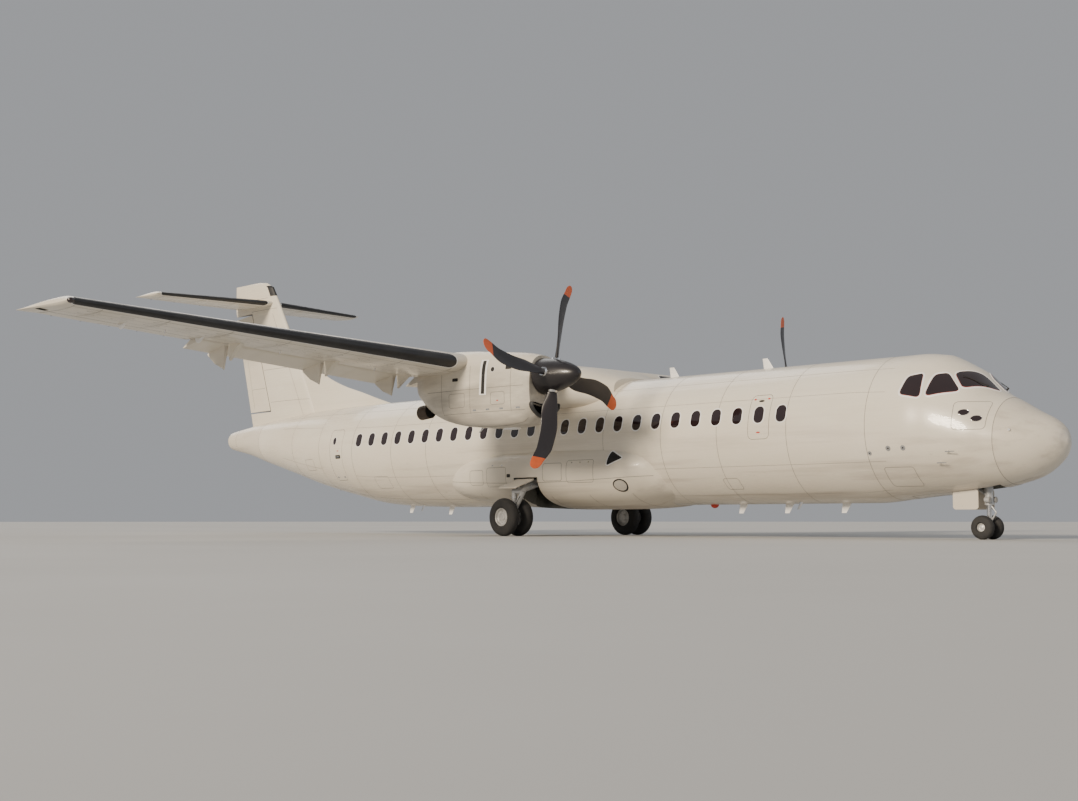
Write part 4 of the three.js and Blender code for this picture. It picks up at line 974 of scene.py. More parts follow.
def bay_cutters():
    """The main wheel bays: an upright round well and the leg's slot beside it, on each side."""
    x, floor = WHEEL_BAY["x"], 0.3
    well = bar((x, MAIN_AXLE, floor), (x, MAIN_AXLE, WHEEL_BAY["roof"]), WHEEL_BAY["r"], sides=48)
    slot = box(LEG_BAY["x0"], LEG_BAY["x1"], LEG_BAY["s0"], LEG_BAY["s1"], floor, LEG_BAY["roof"])
    return both_sides([well, slot])


def build_fuselage():
    """The five lengths of the fuselage, with their doorways, hatches and wheel bays cut out."""
    made = {}
    for name, s0, s1, longest, finish, node, slot in (
        ("radome_shell", 0, RADOME_END, 0.25, "composite", "radome", "paint_composite"),
        ("nose_skin", RADOME_END, NOSE_END, 0.25, "paint", "nose_fuselage", "paint"),
        ("cabin_skin", NOSE_END, CENTRE_END, 0.5, "paint", "centre_fuselage", "paint"),
        ("rear_skin", CENTRE_END, REAR_END, 0.15, "paint", "rear_fuselage", "paint_light"),
        ("tail_cone_shell", REAR_END, LENGTH, 0.03, "composite", "tail_cone", "paint_composite"),
    ):
        rows = fuselage_rows(s0, s1 - (JOINT_GAP if s1 < LENGTH else 0), longest)
        made[name] = make_piece(name, [closed(rows)], finish, node)
    cut = {name: doorway_cutter(door) for name, door in DOORS.items()}
    bay = NOSE_BAY
    nose_bay = box(-bay["half_width"], bay["half_width"], bay["s0"], bay["s1"], 0.4, bay["roof"])
    # Round the emergency exits and the service door the cuts uncover near-black faces: painted shade in the
    # gaps round their panels.
    for name, cutters, finish in (
        ("nose_skin", [cut["cargo_door"]], "cabin"),
        ("nose_skin", [nose_bay], "bay"),
        ("cabin_skin", [cut["emergency_exit_left"], cut["emergency_exit_right"]], "dark"),
        ("cabin_skin", bay_cutters(), "bay"),
        ("rear_skin", [cut["passenger_door"]], "cabin"),
        ("rear_skin", [cut["service_door"]], "dark"),
    ):
        carve(made[name], cutters, finish)


def door_body(name):
    """The body that a door rides on: its own where it is hinged."""
    return name if name in ("cargo_door", "passenger_door") else "airframe"


def build_doors():
    """Door and hatch panels, each a curved sheet with a wall, in its own opening."""
    for name, door in DOORS.items():
        outline = side_outline(door["side"], door_outline(door))
        panel = patch_on(skin, outline, 0.0, BODY_CORE, rings=16)
        walled(make_piece(name + "_panel", [panel], "paint", name, door_body(name)), WALL)


def fairing_rows(table, power):
    """Rings of a belly or root fairing: |x / w|^p + |z / h|^p = 1 about the widest level."""
    s = steps(table[0, 0], table[-1, 0], 0.12)[:, None]
    half_width, level, up, down = columns_at(table, s)
    t = full_turn(72)
    z = level + np.where(np.cos(t) > 0, up, down) * signed_power(np.cos(t), 2 / power)
    return points_of(half_width * signed_power(np.sin(t), 2 / power), aft(s), z)


def build_fairings():
    """The belly fairing with its wheel bays, and the wing root fairing."""
    belly = make_piece("belly_shell", [closed(fairing_rows(BELLY, BELLY_POWER))], "belly", "belly_fairing")
    carve(belly, bay_cutters(), "bay")
    s, half_width, top, bottom = ROOT_FAIRING.T
    half = (top - bottom) / 2
    table = np.column_stack([s, half_width, (top + bottom) / 2, half, half])
    root = closed(fairing_rows(table, ROOT_POWER))
    make_piece("root_fairing_shell", [root], "composite", "wing_root_fairing")


# Wing

def camber_at(f, camber):
    """Height of the mean line over the chord, two parabolas that meet at 0.4 of the chord."""
    return np.where(
        f < 0.4,
        (camber / 0.16) * (0.8 * f - f * f),
        (camber / 0.36) * (0.2 + 0.8 * f - f * f),
    )


def half_thickness_at(f, thickness):
    """Half the section's thickness over the chord: 5 t (0.2969 sqrt f - 0.126 f - ...)."""
    rise = 0.2969 * np.sqrt(f) - 0.126 * f - 0.3516 * f ** 2 + 0.2843 * f ** 3 - 0.1015 * f ** 4
    return 5 * thickness * rise


def wing_at(x):
    """Leading edge, trailing edge, level and thickness ratio of the port wing across the span."""
    t = np.clip((x - KINK_X) / (TIP_LE_X - KINK_X), 0, 1)
    root_te = WING_LE + WING_CHORD
    return (
        WING_LE + (TIP_LE - WING_LE) * t,
        root_te + (TIP_TE - root_te) * t,
        WING_Z + (TIP_Z - WING_Z) * t,
        0.18 - 0.05 * t,
    )


def wing_surface(x, f, face):
    """A point of the port wing: span x, fraction f of the chord, face +1 above and -1 below.
    z = level + (0.25 - f) c tan i + (camber + face * half thickness) c. Past the aileron the
    trailing edge leans out to the tip, and the last of the tip thins away."""
    x, f = np.asarray(x, float), np.asarray(f, float)
    le, te, level, thickness = wing_at(x)
    chord = te - le
    lean = (HALF_SPAN - TIP_LE_X) * np.clip((x - TIP_START) / 0.1, 0, 1)
    thin = np.sqrt(np.clip((TIP_LE_X - x) / 0.12, 0.03, 1))
    height = camber_at(f, WING_CAMBER) + face * half_thickness_at(f, thickness)
    z = level + (0.25 - f) * chord * math.tan(WING_INCIDENCE) + height * thin * chord
    return points_of(x + lean * f, aft(le + f * chord), z)


def chord_fractions(count):
    """Fractions of the chord, closer together at both ends: (1 - cos) / 2."""
    return 0.5 * (1 - np.cos(np.linspace(0, math.pi, count)))


def section_ring(surface, x, count):
    """Closed sections of a wing at spans x: the upper face forwards, then the lower face back."""
    f = chord_fractions(count)
    upper, lower = surface(x[:, None], f[::-1], 1), surface(x[:, None], f[1:], -1)
    return closed(np.concatenate([upper, lower], axis=1))


def mean_at(surface, x, f):
    """The point half way between a wing's faces, and half the distance between them."""
    high, low = surface(x, f, 1), surface(x, f, -1)
    return (high + low) / 2, float(high[2] - low[2]) / 2


FLAPS = {"flap_inner": (1.45, 4.02, 0.6), "flap_outer": (4.87, 9.93, 0.56)}
AILERON = (9.99, 13.12)
SPOILER = dict(x0=7.0, x1=8.7, f0=0.52, f1=0.695, thick=0.028)


def cove_cutter(a, b, half_a, half_b):
    """The room of a control surface: a round cove about its hinge line from a to b, wider than
    the surface's own nose by the hinge gap, and all that lies behind it."""
    along = (b - a) / (b[0] - a[0])
    front, back, tall = 2 * HINGE_GAP, 1.2, 0.6
    rows = []
    for centre, half in ((a - along * HINGE_GAP, half_a), (b + along * HINGE_GAP, half_b)):
        radius = half + HINGE_GAP
        top = math.acos(front / radius)
        t = np.linspace(top, -top, 20)
        arc = np.column_stack([-radius * np.cos(t), radius * np.sin(t)])
        ring = np.vstack([[back, tall], [-front, tall], arc, [-front, -tall], [back, -tall]])
        rows.append(points_of(centre[0], centre[1] + ring[:, 0], centre[2] + ring[:, 1]))
    return closed(np.stack(rows))


def control_rows(surface, x0, x1, fraction):
    """Sections of a control surface: both faces from the hinge aft, and a round nose about the
    hinge, with half the section's thickness there as its radius."""
    x = np.array([x0 + HINGE_END_GAP, x1 - HINGE_END_GAP])
    f = fraction + (1 - fraction) * np.linspace(0, 1, 14) ** 0.9
    upper, lower = surface(x[:, None], f[::-1], 1), surface(x[:, None], f[1:], -1)
    high, low = upper[:, -1], surface(x, fraction, -1)
    middle, radius = (high + low) / 2, (high[:, 2] - low[:, 2]) / 2
    t = np.linspace(0, math.pi, 14)[1:-1]
    nose = middle[:, None] + radius[:, None, None] * points_of(0, -np.sin(t), np.cos(t))
    return closed(np.concatenate([upper, nose, low[:, None], lower], axis=1))


def hinge_line(surface, x0, x1, fraction):
    """Ends of a hinge line and half the thickness at each."""
    (a, half_a), (b, half_b) = mean_at(surface, x0, fraction), mean_at(surface, x1, fraction)
    return a, b, half_a, half_b


FAIRING_X = (4.93, 6.9, 9.25)
FAIRING_HALF = 0.055


def fairing_half(x, outline, half_width):
    """A flap fairing half, seen from the side as an outline of [distance aft of the hinge, height
    over its low point] pairs, with a rounded underside: w(z) = w sqrt(share of the height)."""
    outline = np.asarray(outline, float)
    low = outline[:, 1].min()
    share = np.clip((outline[:, 1] - low) / 0.16, 0.12, 1) ** 0.5
    k = np.linspace(-1, 1, 9)[:, None]
    lift = (1 - np.sqrt(np.maximum(0, 1 - np.abs(k) ** 2.4))) * 0.05
    return closed(points_of(x + half_width * k * share, outline[:, 0], outline[:, 1] + lift * (1 - share)))


def flap_fairings(x):
    """The fixed and the moving half of the fairing at span x, the moving half with the flap up."""
    middle, half = mean_at(wing_surface, x, HINGE_FRACTION)
    y, bottom = float(middle[1]), float(middle[2] - half)
    low = float(middle[2]) - 0.56
    fixed = [
        [y - 0.62, bottom + 0.05], [y - 0.3, bottom - 0.09], [y + 0.15, low - 0.01], [y + 0.185, low + 0.02],
        [y - 0.03, bottom + 0.02], [y - 0.09, bottom + 0.05],
    ]
    moving = [
        [y + 0.205, low + 0.025], [y + 0.42, (low + bottom) / 2 - 0.02], [y + 0.62, bottom - 0.01],
        [y + 0.64, bottom + 0.04], [y + 0.04, bottom + 0.06], [y - 0.005, bottom + 0.02],
    ]
    return fairing_half(x, fixed, FAIRING_HALF), fairing_half(x, moving, FAIRING_HALF - 0.008)


def build_wing():
    """The wing's fixed parts, with the rooms of its flaps, ailerons and spoilers cut out, and
    those surfaces in them."""
    across = np.concatenate([steps(KINK_X, TIP_START, 0.5), np.linspace(TIP_START, TIP_LE_X, 26)[1:]])
    across[0] += JOINT_GAP
    hinges = {name: hinge_line(wing_surface, x0, x1, HINGE_FRACTION) for name, (x0, x1, _) in FLAPS.items()}
    coves = {name: cove_cutter(*hinge) for name, hinge in hinges.items()}
    aileron_cove = cove_cutter(*hinge_line(wing_surface, *AILERON, HINGE_FRACTION))
    outer = section_ring(wing_surface, across, 36)
    pair = each_side("wing_outer", [outer], "wing", "wing_outer")
    carve_each(pair, [aileron_cove, coves["flap_outer"], spoiler_pocket()], "seam")
    inner = section_ring(wing_surface, np.array([-KINK_X, -2.0, 2.0, KINK_X]), 36)
    centre = make_piece("wing_centre_skin", [inner], "wing", "wing_centre")
    carve(centre, both_sides([coves["flap_inner"]]), "seam")

    aileron = control_rows(wing_surface, *AILERON, HINGE_FRACTION)
    each_side("aileron_skin", [aileron], "composite", "aileron", "aileron")
    for obj in each_side("spoiler_panel", [spoiler_face()], "composite", "spoiler", "spoiler"):
        walled(obj, SPOILER["thick"])
    for name, (x0, x1, depth) in FLAPS.items():
        a, b, _, _ = hinges[name]
        surfaces = [control_rows(wing_surface, x0, x1, HINGE_FRACTION)]
        surfaces += [flap_fairings(x)[1] for x in FAIRING_X if x0 < x < x1]
        pivot = a - [0, 0, depth]
        dropped = [(turned_about(p, pivot, b - a, -FLAP_DROP), f, m) for p, f, m in surfaces]
        each_side(name + "_skin", dropped, "composite", name, name)
    fixed = [flap_fairings(x)[0] for x in FAIRING_X]
    carve_each(each_side("flap_fairings", fixed, "composite"), [coves["flap_outer"]], "seam")


def spoiler_face():
    """The spoiler's upper face: the wing's own between two fractions of the chord."""
    x = np.linspace(SPOILER["x0"], SPOILER["x1"], 12)
    f = np.linspace(SPOILER["f0"], SPOILER["f1"], 12)
    return sheet(wing_surface(x[:, None], f, 1))


def spoiler_pocket():
    """The recess under a spoiler, a little larger than it and deeper than it is thick."""
    grow = 2 * MOVING_GAP
    chord = WING_CHORD * 0.85
    f = np.array([SPOILER["f0"] - grow / chord, SPOILER["f1"] + grow / chord])
    rows = []
    for x in (SPOILER["x0"] - grow, SPOILER["x1"] + grow):
        face = wing_surface(x, f, 1)
        deep = face - [0, 0, SPOILER["thick"] + MOVING_GAP]
        rows.append(np.vstack([deep, (face + [0, 0, 0.3])[::-1]]))
    return closed(np.stack(rows))


# Nacelles and propellers

def nacelle_rows(s0, s1):
    """Rings of the port nacelle: |x / w|^p + |z / h|^p = 1, its power from the table."""
    s = steps(s0, s1, 0.06)[:, None]
    half_width, top, bottom, power = columns_at(NACELLE, s)
    t = full_turn(80)
    z = (top + bottom) / 2 + (top - bottom) / 2 * signed_power(np.sin(t), 2 / power)
    return points_of(NACELLE_X + half_width * signed_power(np.cos(t), 2 / power), aft(s), z)


INTAKE = dict(half_width=0.385, level=2.64, up=0.13, down=0.11, depth=0.4)


def kidney_ring(s, half_width, level, up, down, sides=64):
    """The intake's mouth, a smile: a flat oval whose ends are lifted by a parabola."""
    t = full_turn(sides)
    x = half_width * signed_power(np.cos(t), 0.8)
    z = np.where(np.sin(t) > 0, up, down) * signed_power(np.sin(t), 0.8)
    lift = 0.13 * np.abs(x / INTAKE["half_width"]) ** 2.2
    return np.column_stack([NACELLE_X + x, np.full(sides, aft(s)), level - 0.05 + z + lift])


def build_nacelles():
    """The cowls with their intakes, and the nacelles' rear ends with their exhausts and the room
    of the inner flaps."""
    front, level = NACELLE[0, 0], INTAKE["level"]
    cowl, rear = nacelle_rows(front, COWL_END - JOINT_GAP), nacelle_rows(COWL_END, NACELLE[-1, 0])
    cowls = each_side("cowl_shell", [closed(cowl)], "composite", "engine_cowl")
    rears = each_side("nacelle_shell", [closed(rear)], "composite", "nacelle_rear")
    mouth = closed(np.stack([
        kidney_ring(front - 0.05, INTAKE["half_width"] - 0.02, level, 0.11, 0.09),
        kidney_ring(front + INTAKE["depth"], 0.19, level - 0.04, 0.06, 0.06),
    ]))
    exhaust = bar((NACELLE_X + 0.12, 12.25, 2.82), (NACELLE_X + 0.22, 13.1, 2.72), 0.15, 0.17, 32)
    flap_room = cove_cutter(*hinge_line(wing_surface, *FLAPS["flap_inner"][:2], HINGE_FRACTION))
    # The faces uncovered inside the intakes and the flap rooms are near black, painted shade; inside the
    # exhausts, soot and painted shade.
    carve_each(cowls, [mouth], "dark")
    carve_each(rears, [exhaust, flap_room], "dark")


def spinner_profile():
    """The spinner's outline drawn smooth: its square root rise at the tip, then the table."""
    along = SPINNER[-1, 0] * np.linspace(0, 1, 40) ** 1.8
    radius = smooth(np.sqrt(along), np.sqrt(SPINNER[:, 0]), SPINNER[:, 1])
    return np.column_stack([along, np.maximum(radius, 0.0005)])


def blade_rows(turn, centre):
    """One blade: flat oval sections, c/2 cos t by th/2 sin t, set at the blade angle and carried
    out along the radius, then turned round the shaft."""
    r = np.concatenate([np.linspace(0.075, 0.9, 34), 0.9 + 0.1 * np.sin(np.linspace(0, math.pi / 2, 16))[1:]])
    r = r[:, None]
    chord, thick, degrees, sweep = columns_at(BLADE, r)
    beyond = np.clip((r - 0.92) / 0.08, 0, 1)
    chord = np.where(r > 0.92, np.maximum(0.27 * np.sqrt(1 - beyond ** 2.2), 0.012), chord)
    t = full_turn(28)
    along = sweep + chord / 2 * np.cos(t)
    across = thick / 2 * signed_power(np.sin(t), 0.9)
    angle = np.radians(degrees)
    x = along * np.cos(angle) - across * np.sin(angle)
    y = along * np.sin(angle) + across * np.cos(angle)
    z, c, s = r * PROP_R, math.cos(turn), math.sin(turn)
    return points_of(x * c + z * s, y, z * c - x * s) + centre, r[:, 0]


PROPS = (("left", 1, 79.5), ("right", -1, 10.2))
TIP_SHARE = 0.875


def build_propellers():
    """Spinners, blade cuffs and blades. The outer part of each blade has the warning colour."""
    for side, sign, phase in PROPS:
        centre = at(sign * NACELLE_X, PROP_PLANE, THRUST_Z)
        body = "propeller_" + side
        cone = turned(spinner_profile(), at(sign * NACELLE_X, SPINNER_TIP, THRUST_Z), "y", 64)
        make_piece("spinner_shell_" + side, [cone], "black", "spinner_" + side, body)
        surfaces, cuffs = [], []
        for k in range(4):
            turn = math.radians(phase + 90 * k)
            rows, share = blade_rows(turn, centre)
            points, (quads, root, tip), _ = closed(rows)
            outer = quads.min(axis=1) >= int(np.searchsorted(share, TIP_SHARE)) * rows.shape[1]
            surfaces += [(points, [quads[~outer], root], "blade"), (points, [quads[outer], tip], "tip")]
            out = np.array([math.sin(turn), 0, math.cos(turn)])
            cuffs.append(rod(centre + out * 0.315, centre + out * 0.36, 0.105, 0.09, 24))
        make_piece("blades_" + side, surfaces, "blade tip", body, body)
        make_piece("blade_cuffs_" + side, cuffs, "bright", None, body)


# Tail

def fin_surface(z, f, face):
    """A point of the fin at a level and a fraction of its chord, face +1 to port."""
    le, te, thickness = columns_linear(FIN, z)
    chord = te - le
    return points_of(face * half_thickness_at(f, thickness) * chord, aft(le + f * chord), z)


def columns_linear(table, at):
    """Every column of a table by straight lines between its entries."""
    return [np.interp(at, table[:, 0], table[:, k]) for k in range(1, table.shape[1])]


RUDDER = dict(z0=3.62, z1=6.69, hinge0=24.98, hinge1=26.17)
TAILPLANE = np.array([[0.0, 25.02, 27.08], [3.6, 25.64, 26.895]])
TAILPLANE_EDGE = TAILPLANE[1, 0] + 0.03
TAILPLANE_HALF = 3.655
ELEVATOR = (0.33, 3.33, 0.66)


def tailplane_surface(x, f, face):
    """A point of the tailplane, the same on both sides, its tip thinned away at the end."""
    x, f = np.asarray(x, float), np.asarray(f, float)
    span = np.abs(x)
    le, te = columns_linear(TAILPLANE, span)
    chord = te - le
    thickness = 0.12 - 0.01 * span / TAILPLANE[1, 0]
    thin = np.sqrt(np.clip((TAILPLANE_EDGE - span) / 0.08, 0.03, 1))
    lean = (TAILPLANE_HALF - TAILPLANE_EDGE) * np.clip((span - 3.4) / 0.2, 0, 1)
    z = TAILPLANE_Z + face * half_thickness_at(f, thickness) * thin * chord
    return points_of(x + np.sign(x) * lean * f, aft(le + f * chord), z)


def rudder_nose(z):
    """Station, fraction of the chord and radius of the rudder's hinge line at a level."""
    share = (z - RUDDER["z0"]) / (RUDDER["z1"] - RUDDER["z0"])
    s = RUDDER["hinge0"] + share * (RUDDER["hinge1"] - RUDDER["hinge0"])
    le, te, thickness = columns_linear(FIN, z)
    f = (s - le) / (te - le)
    return s, f, half_thickness_at(f, thickness) * (te - le)


def rudder_rows(z_low, z_high, drop):
    """Level sections of the rudder: both faces from the hinge aft and a round nose about the
    hinge. The top edge falls by drop for each metre aft of the upper hinge."""
    z = np.linspace(z_low, z_high, 12)[:, None]
    s, hinge, radius = rudder_nose(z)
    f = hinge + (1 - hinge) * np.linspace(0, 1, 12)
    port, starboard = fin_surface(z, f[:, ::-1], 1), fin_surface(z, f, -1)
    t = np.linspace(0, math.pi, 14)[1:-1]
    nose = points_of(radius * np.cos(t), aft(s) - radius * np.sin(t), z)
    rows = np.concatenate([port, nose, starboard], axis=1)
    beyond = np.maximum(0, rows[..., 1] - aft(RUDDER["hinge1"]))
    rows[..., 2] -= drop * np.linspace(0, 1, 12)[:, None] * beyond
    return closed(rows)


def rudder_room():
    """The rudder's room in the fin: a cove round its nose and all that lies behind it."""
    half, back = 0.5, 2.5
    rows = []
    for z in (RUDDER["z0"] - HINGE_GAP, RUDDER["z1"] + HINGE_GAP):
        s, _, radius = rudder_nose(z)
        t = np.linspace(-math.pi / 2, math.pi / 2, 16)
        arc = (radius + HINGE_GAP) * np.column_stack([np.sin(t), -np.cos(t)])
        ring = np.vstack([arc, [half, 0], [half, back], [-half, back], [-half, 0]])
        rows.append(points_of(ring[:, 0], aft(s) + ring[:, 1], z))
    return closed(np.stack(rows))


def rounded_end(start, last, end, straight):
    """Places from start to end, evenly spaced as far as last and then sin t of what is left."""
    curve = last + (end - last) * np.sin(np.linspace(0, math.pi / 2, 14))[1:]
    return np.concatenate([np.linspace(start, last, straight), curve])


def dorsal_fin():
    """The dorsal fin: its half width goes from the table's at the foot to a thin crest, which is
    rounded by sqrt(1 - h^14), where h is the share of its height."""
    s = np.linspace(DORSAL[0, 0], DORSAL[-1, 0], 60)[:, None]
    crest, half = columns_at(DORSAL, s)
    h = 1 - np.linspace(1, 0, 16) ** 2
    width = (half * (1 - h) + 0.03 * h) * np.sqrt(1 - h ** 14)
    port = points_of(width, aft(s), FIN_FOOT + (crest - FIN_FOOT) * h)
    return closed(np.concatenate([port, (port * [-1, 1, 1])[:, -2::-1]], axis=1))


def build_tail():
    """Fin, rudder, dorsal fin, tailplane and elevators."""
    z = rounded_end(FIN_FOOT, 7.44, 7.65, 30)[:, None]
    f = chord_fractions(40)
    fin = closed(np.concatenate([fin_surface(z, f[::-1], 1), fin_surface(z, f[1:-1], -1)], axis=1))
    carve(make_piece("fin_skin", [fin], "paint", "fin"), [rudder_room()], "seam")
    rudder = rudder_rows(RUDDER["z0"] + 0.034, RUDDER["z1"] - 0.034, 0.06)
    make_piece("rudder_skin", [rudder], "composite", "rudder", "rudder")
    make_piece("dorsal_fin_skin", [dorsal_fin()], "paint", "dorsal_fin")
    half_span = rounded_end(0, 3.5, TAILPLANE_EDGE, 12)
    shape = section_ring(tailplane_surface, np.concatenate([-half_span[:0:-1], half_span]), 40)
    tailplane = make_piece("tailplane_skin", [shape], "paint", "tailplane")
    carve(tailplane, both_sides([cove_cutter(*hinge_line(tailplane_surface, *ELEVATOR))]), "seam")
    elevator = control_rows(tailplane_surface, *ELEVATOR)
    each_side("elevator_skin", [elevator], "composite", "elevator", "elevator")


# Glazing

PANES = {
    "front": [(-0.60, 1.87, 3.04), (-0.10, 1.51, 3.00), (-0.10, 1.20, 2.70), (-0.76, 1.61, 2.71)],
    "middle": [(-1.14, 2.22, 2.63), (-0.84, 2.15, 3.05), (-0.67, 1.95, 3.04), (-0.82, 1.63, 2.67)],
    "aft": [(-1.21, 2.71, 2.70), (-0.99, 2.63, 3.04), (-0.87, 2.36, 3.08), (-1.16, 2.30, 2.62)],
}


def turn_of(x, s, z):
    """The turn from the top at which the skin of a station faces a point."""
    half_width, level, up, down = columns_at(FUSELAGE, s)
    return np.arctan2(x / half_width, (z - level) / np.where(z > level, up, down))


def build_glazing(sizes):
    """Three cockpit panes and a row of cabin windows a side, each in its light frame."""
    made = []
    for corners in PANES.values():
        x, s, z = np.array(corners).T
        outline = rounded_polygon(np.column_stack([s, turn_of(x, s, z)]))
        made.append(patch_on(skin, outline, 0.004, BODY_CORE, "glass"))
        made.append(rim_on(skin, outline, 0.016, 0.007, BODY_CORE, "red", -0.012))
        made.append(rim_on(skin, outline, 0.04, 0.009, BODY_CORE, "trim", 0.002))
    for side, shapes in (("right", made), ("left", [mirrored(shape) for shape in made])):
        node = "cockpit_glazing_" + side
        make_piece("cockpit_panes_" + side, shapes, "glass red trim", node)
    panes = []
    shape = rounded_outline(sizes.window_width / 2, sizes.window_height / 2, 0.105, 8, 3)
    for side in (1, -1):
        for k in range(sizes.window_count):
            outline = side_outline(side, shape + [FIRST_WINDOW + k * sizes.window_pitch, WINDOW_LEVEL])
            panes += rimmed(skin, BODY_CORE, outline, 0.003, "glass", 4, 0.028, 0.008, "trim")
    make_piece("cabin_windows", panes, "glass trim")


# De-icing boots

def boot_reach(x, ends, reach):
    """Share of the chord that a boot covers across the span: whole, but a quarter circle at its ends."""
    near = np.clip(np.minimum(x - ends[0], ends[1] - x) / 0.12, 0, 1)
    return reach * np.sqrt(np.maximum(1 - (1 - near) ** 2, 0.0004))


def boot(surface, start, end, reach, lift, finish):
    """A sheet wrapped round a leading edge: f = reach u^2, with u from -1 below to 1 above."""
    x = start + (end - start) * chord_fractions(90)
    u = np.linspace(-1, 1, 25)
    f = boot_reach(x, (start, end), reach)[:, None] * u ** 2
    grid = surface(x[:, None], f, np.where(u >= 0, 1.0, -1.0))
    return raised_sheet(grid, lift, (0, -1, 0), finish)


def build_boots(sizes):
    """De-icing boots on the wing and the tailplane, each over its own wider, light edge."""
    made, edge = [], 0.025
    for surface, start, end, reach, more in (
        (wing_surface, 1.72, 3.42, sizes.boot_reach, 0.01),
        (wing_surface, 4.86, 13.22, sizes.boot_reach, 0.01),
        (tailplane_surface, 0.25, 3.52, sizes.boot_reach + 0.005, 0.012),
    ):
        made.append(boot(surface, start - edge, end + edge, reach + more, 0.0016, "trim"))
        made.append(boot(surface, start, end, reach, 0.0036, "boot"))
    each_side("de_icing_boots", made, "boot trim")


# Wheels and gear

def tyre_profile(outer, half, bead, grooves):
    """A tyre's outline: across = -h |cos t|^0.85 with the sign of cos t, and radius = bead +
    (outer - bead) (sin t)^0.52, with narrow grooves pressed into the tread."""
    t = np.linspace(0.02, math.pi - 0.02, 140)
    across = -half * signed_power(np.cos(t), 0.85)
    radius = bead + (outer - bead) * np.sin(t) ** 0.52
    for groove in grooves:
        radius = radius - 0.007 * np.exp(-((across - groove * half) / 0.0032) ** 4)
    ring = np.column_stack([across, radius])
    return np.vstack([[-half * 0.7, bead - 0.004], ring, [half * 0.7, bead - 0.004]])


def wheel_profile(bead, half, hub):
    """A rim's outline across the wheel: flange, dish and hub on both faces."""
    face = np.array([
        [0.5, 0.0], [0.5, hub * 0.5], [0.44, hub * 0.9], [0.3, hub * 1.05], [0.26, hub * 1.4],
        [0.3, bead * 0.78], [0.36, bead * 0.84], [0.66, bead * 0.9], [0.74, bead * 0.97],
        [0.74, bead * 1.03], [0.68, bead * 1.03], [0.6, bead * 0.98],
    ])
    return np.vstack([face * [-half, 1], (face * [half, 1])[::-1]])


def wheel(x, s, radius, size):
    """A tyre and a rim about an axle, the rim with nine bolts on each face."""
    half, bead, hub = size
    centre = at(x, s, radius)
    grooves = (-0.42, -0.15, 0.15, 0.42) if radius > 0.3 else (-0.3, 0, 0.3)
    rubber = turned(tyre_profile(radius, half, bead, grooves), centre, "x", 96, shape=looped)
    metal = [turned(wheel_profile(bead, half, hub), centre, "x", 64)]
    for angle in full_turn(9):
        place = centre + np.array([0, math.cos(angle), math.sin(angle)]) * bead * 0.62
        for out in (np.array([-1, 0, 0]), np.array([1, 0, 0])):
            ends = place + out * half * 0.26, place + out * (half * 0.3 + 0.012)
            metal.append(rod(*ends, bead * 0.05, bead * 0.04, 8))
    return rubber, metal


MAIN_SIZE = (0.127, 0.203, 0.075)
MAIN_SPACING = 0.222
NOSE_SIZE = (0.092, 0.078, 0.034)
NOSE_SPACING = 0.178
AXLE_RADIUS = {"main": 0.04, "nose": 0.024}


def wheel_set(tyres, station, radius, size, axle, rims, body):
    """Wheels on one axle: a tyre for each node and its place across, and one piece of rims."""
    metal = []
    for node, x in tyres:
        rubber, parts = wheel(x, station, radius, size)
        make_piece(node + "_rubber", [rubber], "tyre", node, body, TYRE_ANGLE)
        metal += parts
    metal.append(bar(*[(x, station, radius) for _, x in tyres], axle, sides=32))
    make_piece(rims, metal, "rim", body, body)


def build_wheels():
    """Twin main wheels a side and twin nose wheels, tyres and rims apart."""
    for side, sign in (("_left", 1), ("_right", -1)):
        tyres = [
            ("main_tyre_inner" + side, sign * (MAIN_TRACK_X - MAIN_SPACING)),
            ("main_tyre_outer" + side, sign * (MAIN_TRACK_X + MAIN_SPACING)),
        ]
        names = "main_rims" + side, "main_wheels" + side
        wheel_set(tyres, MAIN_AXLE, MAIN_TYRE_R, MAIN_SIZE, AXLE_RADIUS["main"], *names)
    tyres = [("nose_tyre_left", NOSE_SPACING), ("nose_tyre_right", -NOSE_SPACING)]
    names = "nose_rims", "nose_wheels"
    wheel_set(tyres, NOSE_AXLE, NOSE_TYRE_R, NOSE_SIZE, AXLE_RADIUS["nose"], *names)


def bars(rows):
    """Bars, one a row: both ends, then its radii, its sides and its finish as a rod takes them."""
    return [bar(a, b, *more) for a, b, *more in rows]


def leg_door_level(x):
    """Level of a main leg's door across the airliner: a straight line that falls outboard."""
    return 1.29 + (x - 1.72) * (1.085 - 1.29) / (2.33 - 1.72)


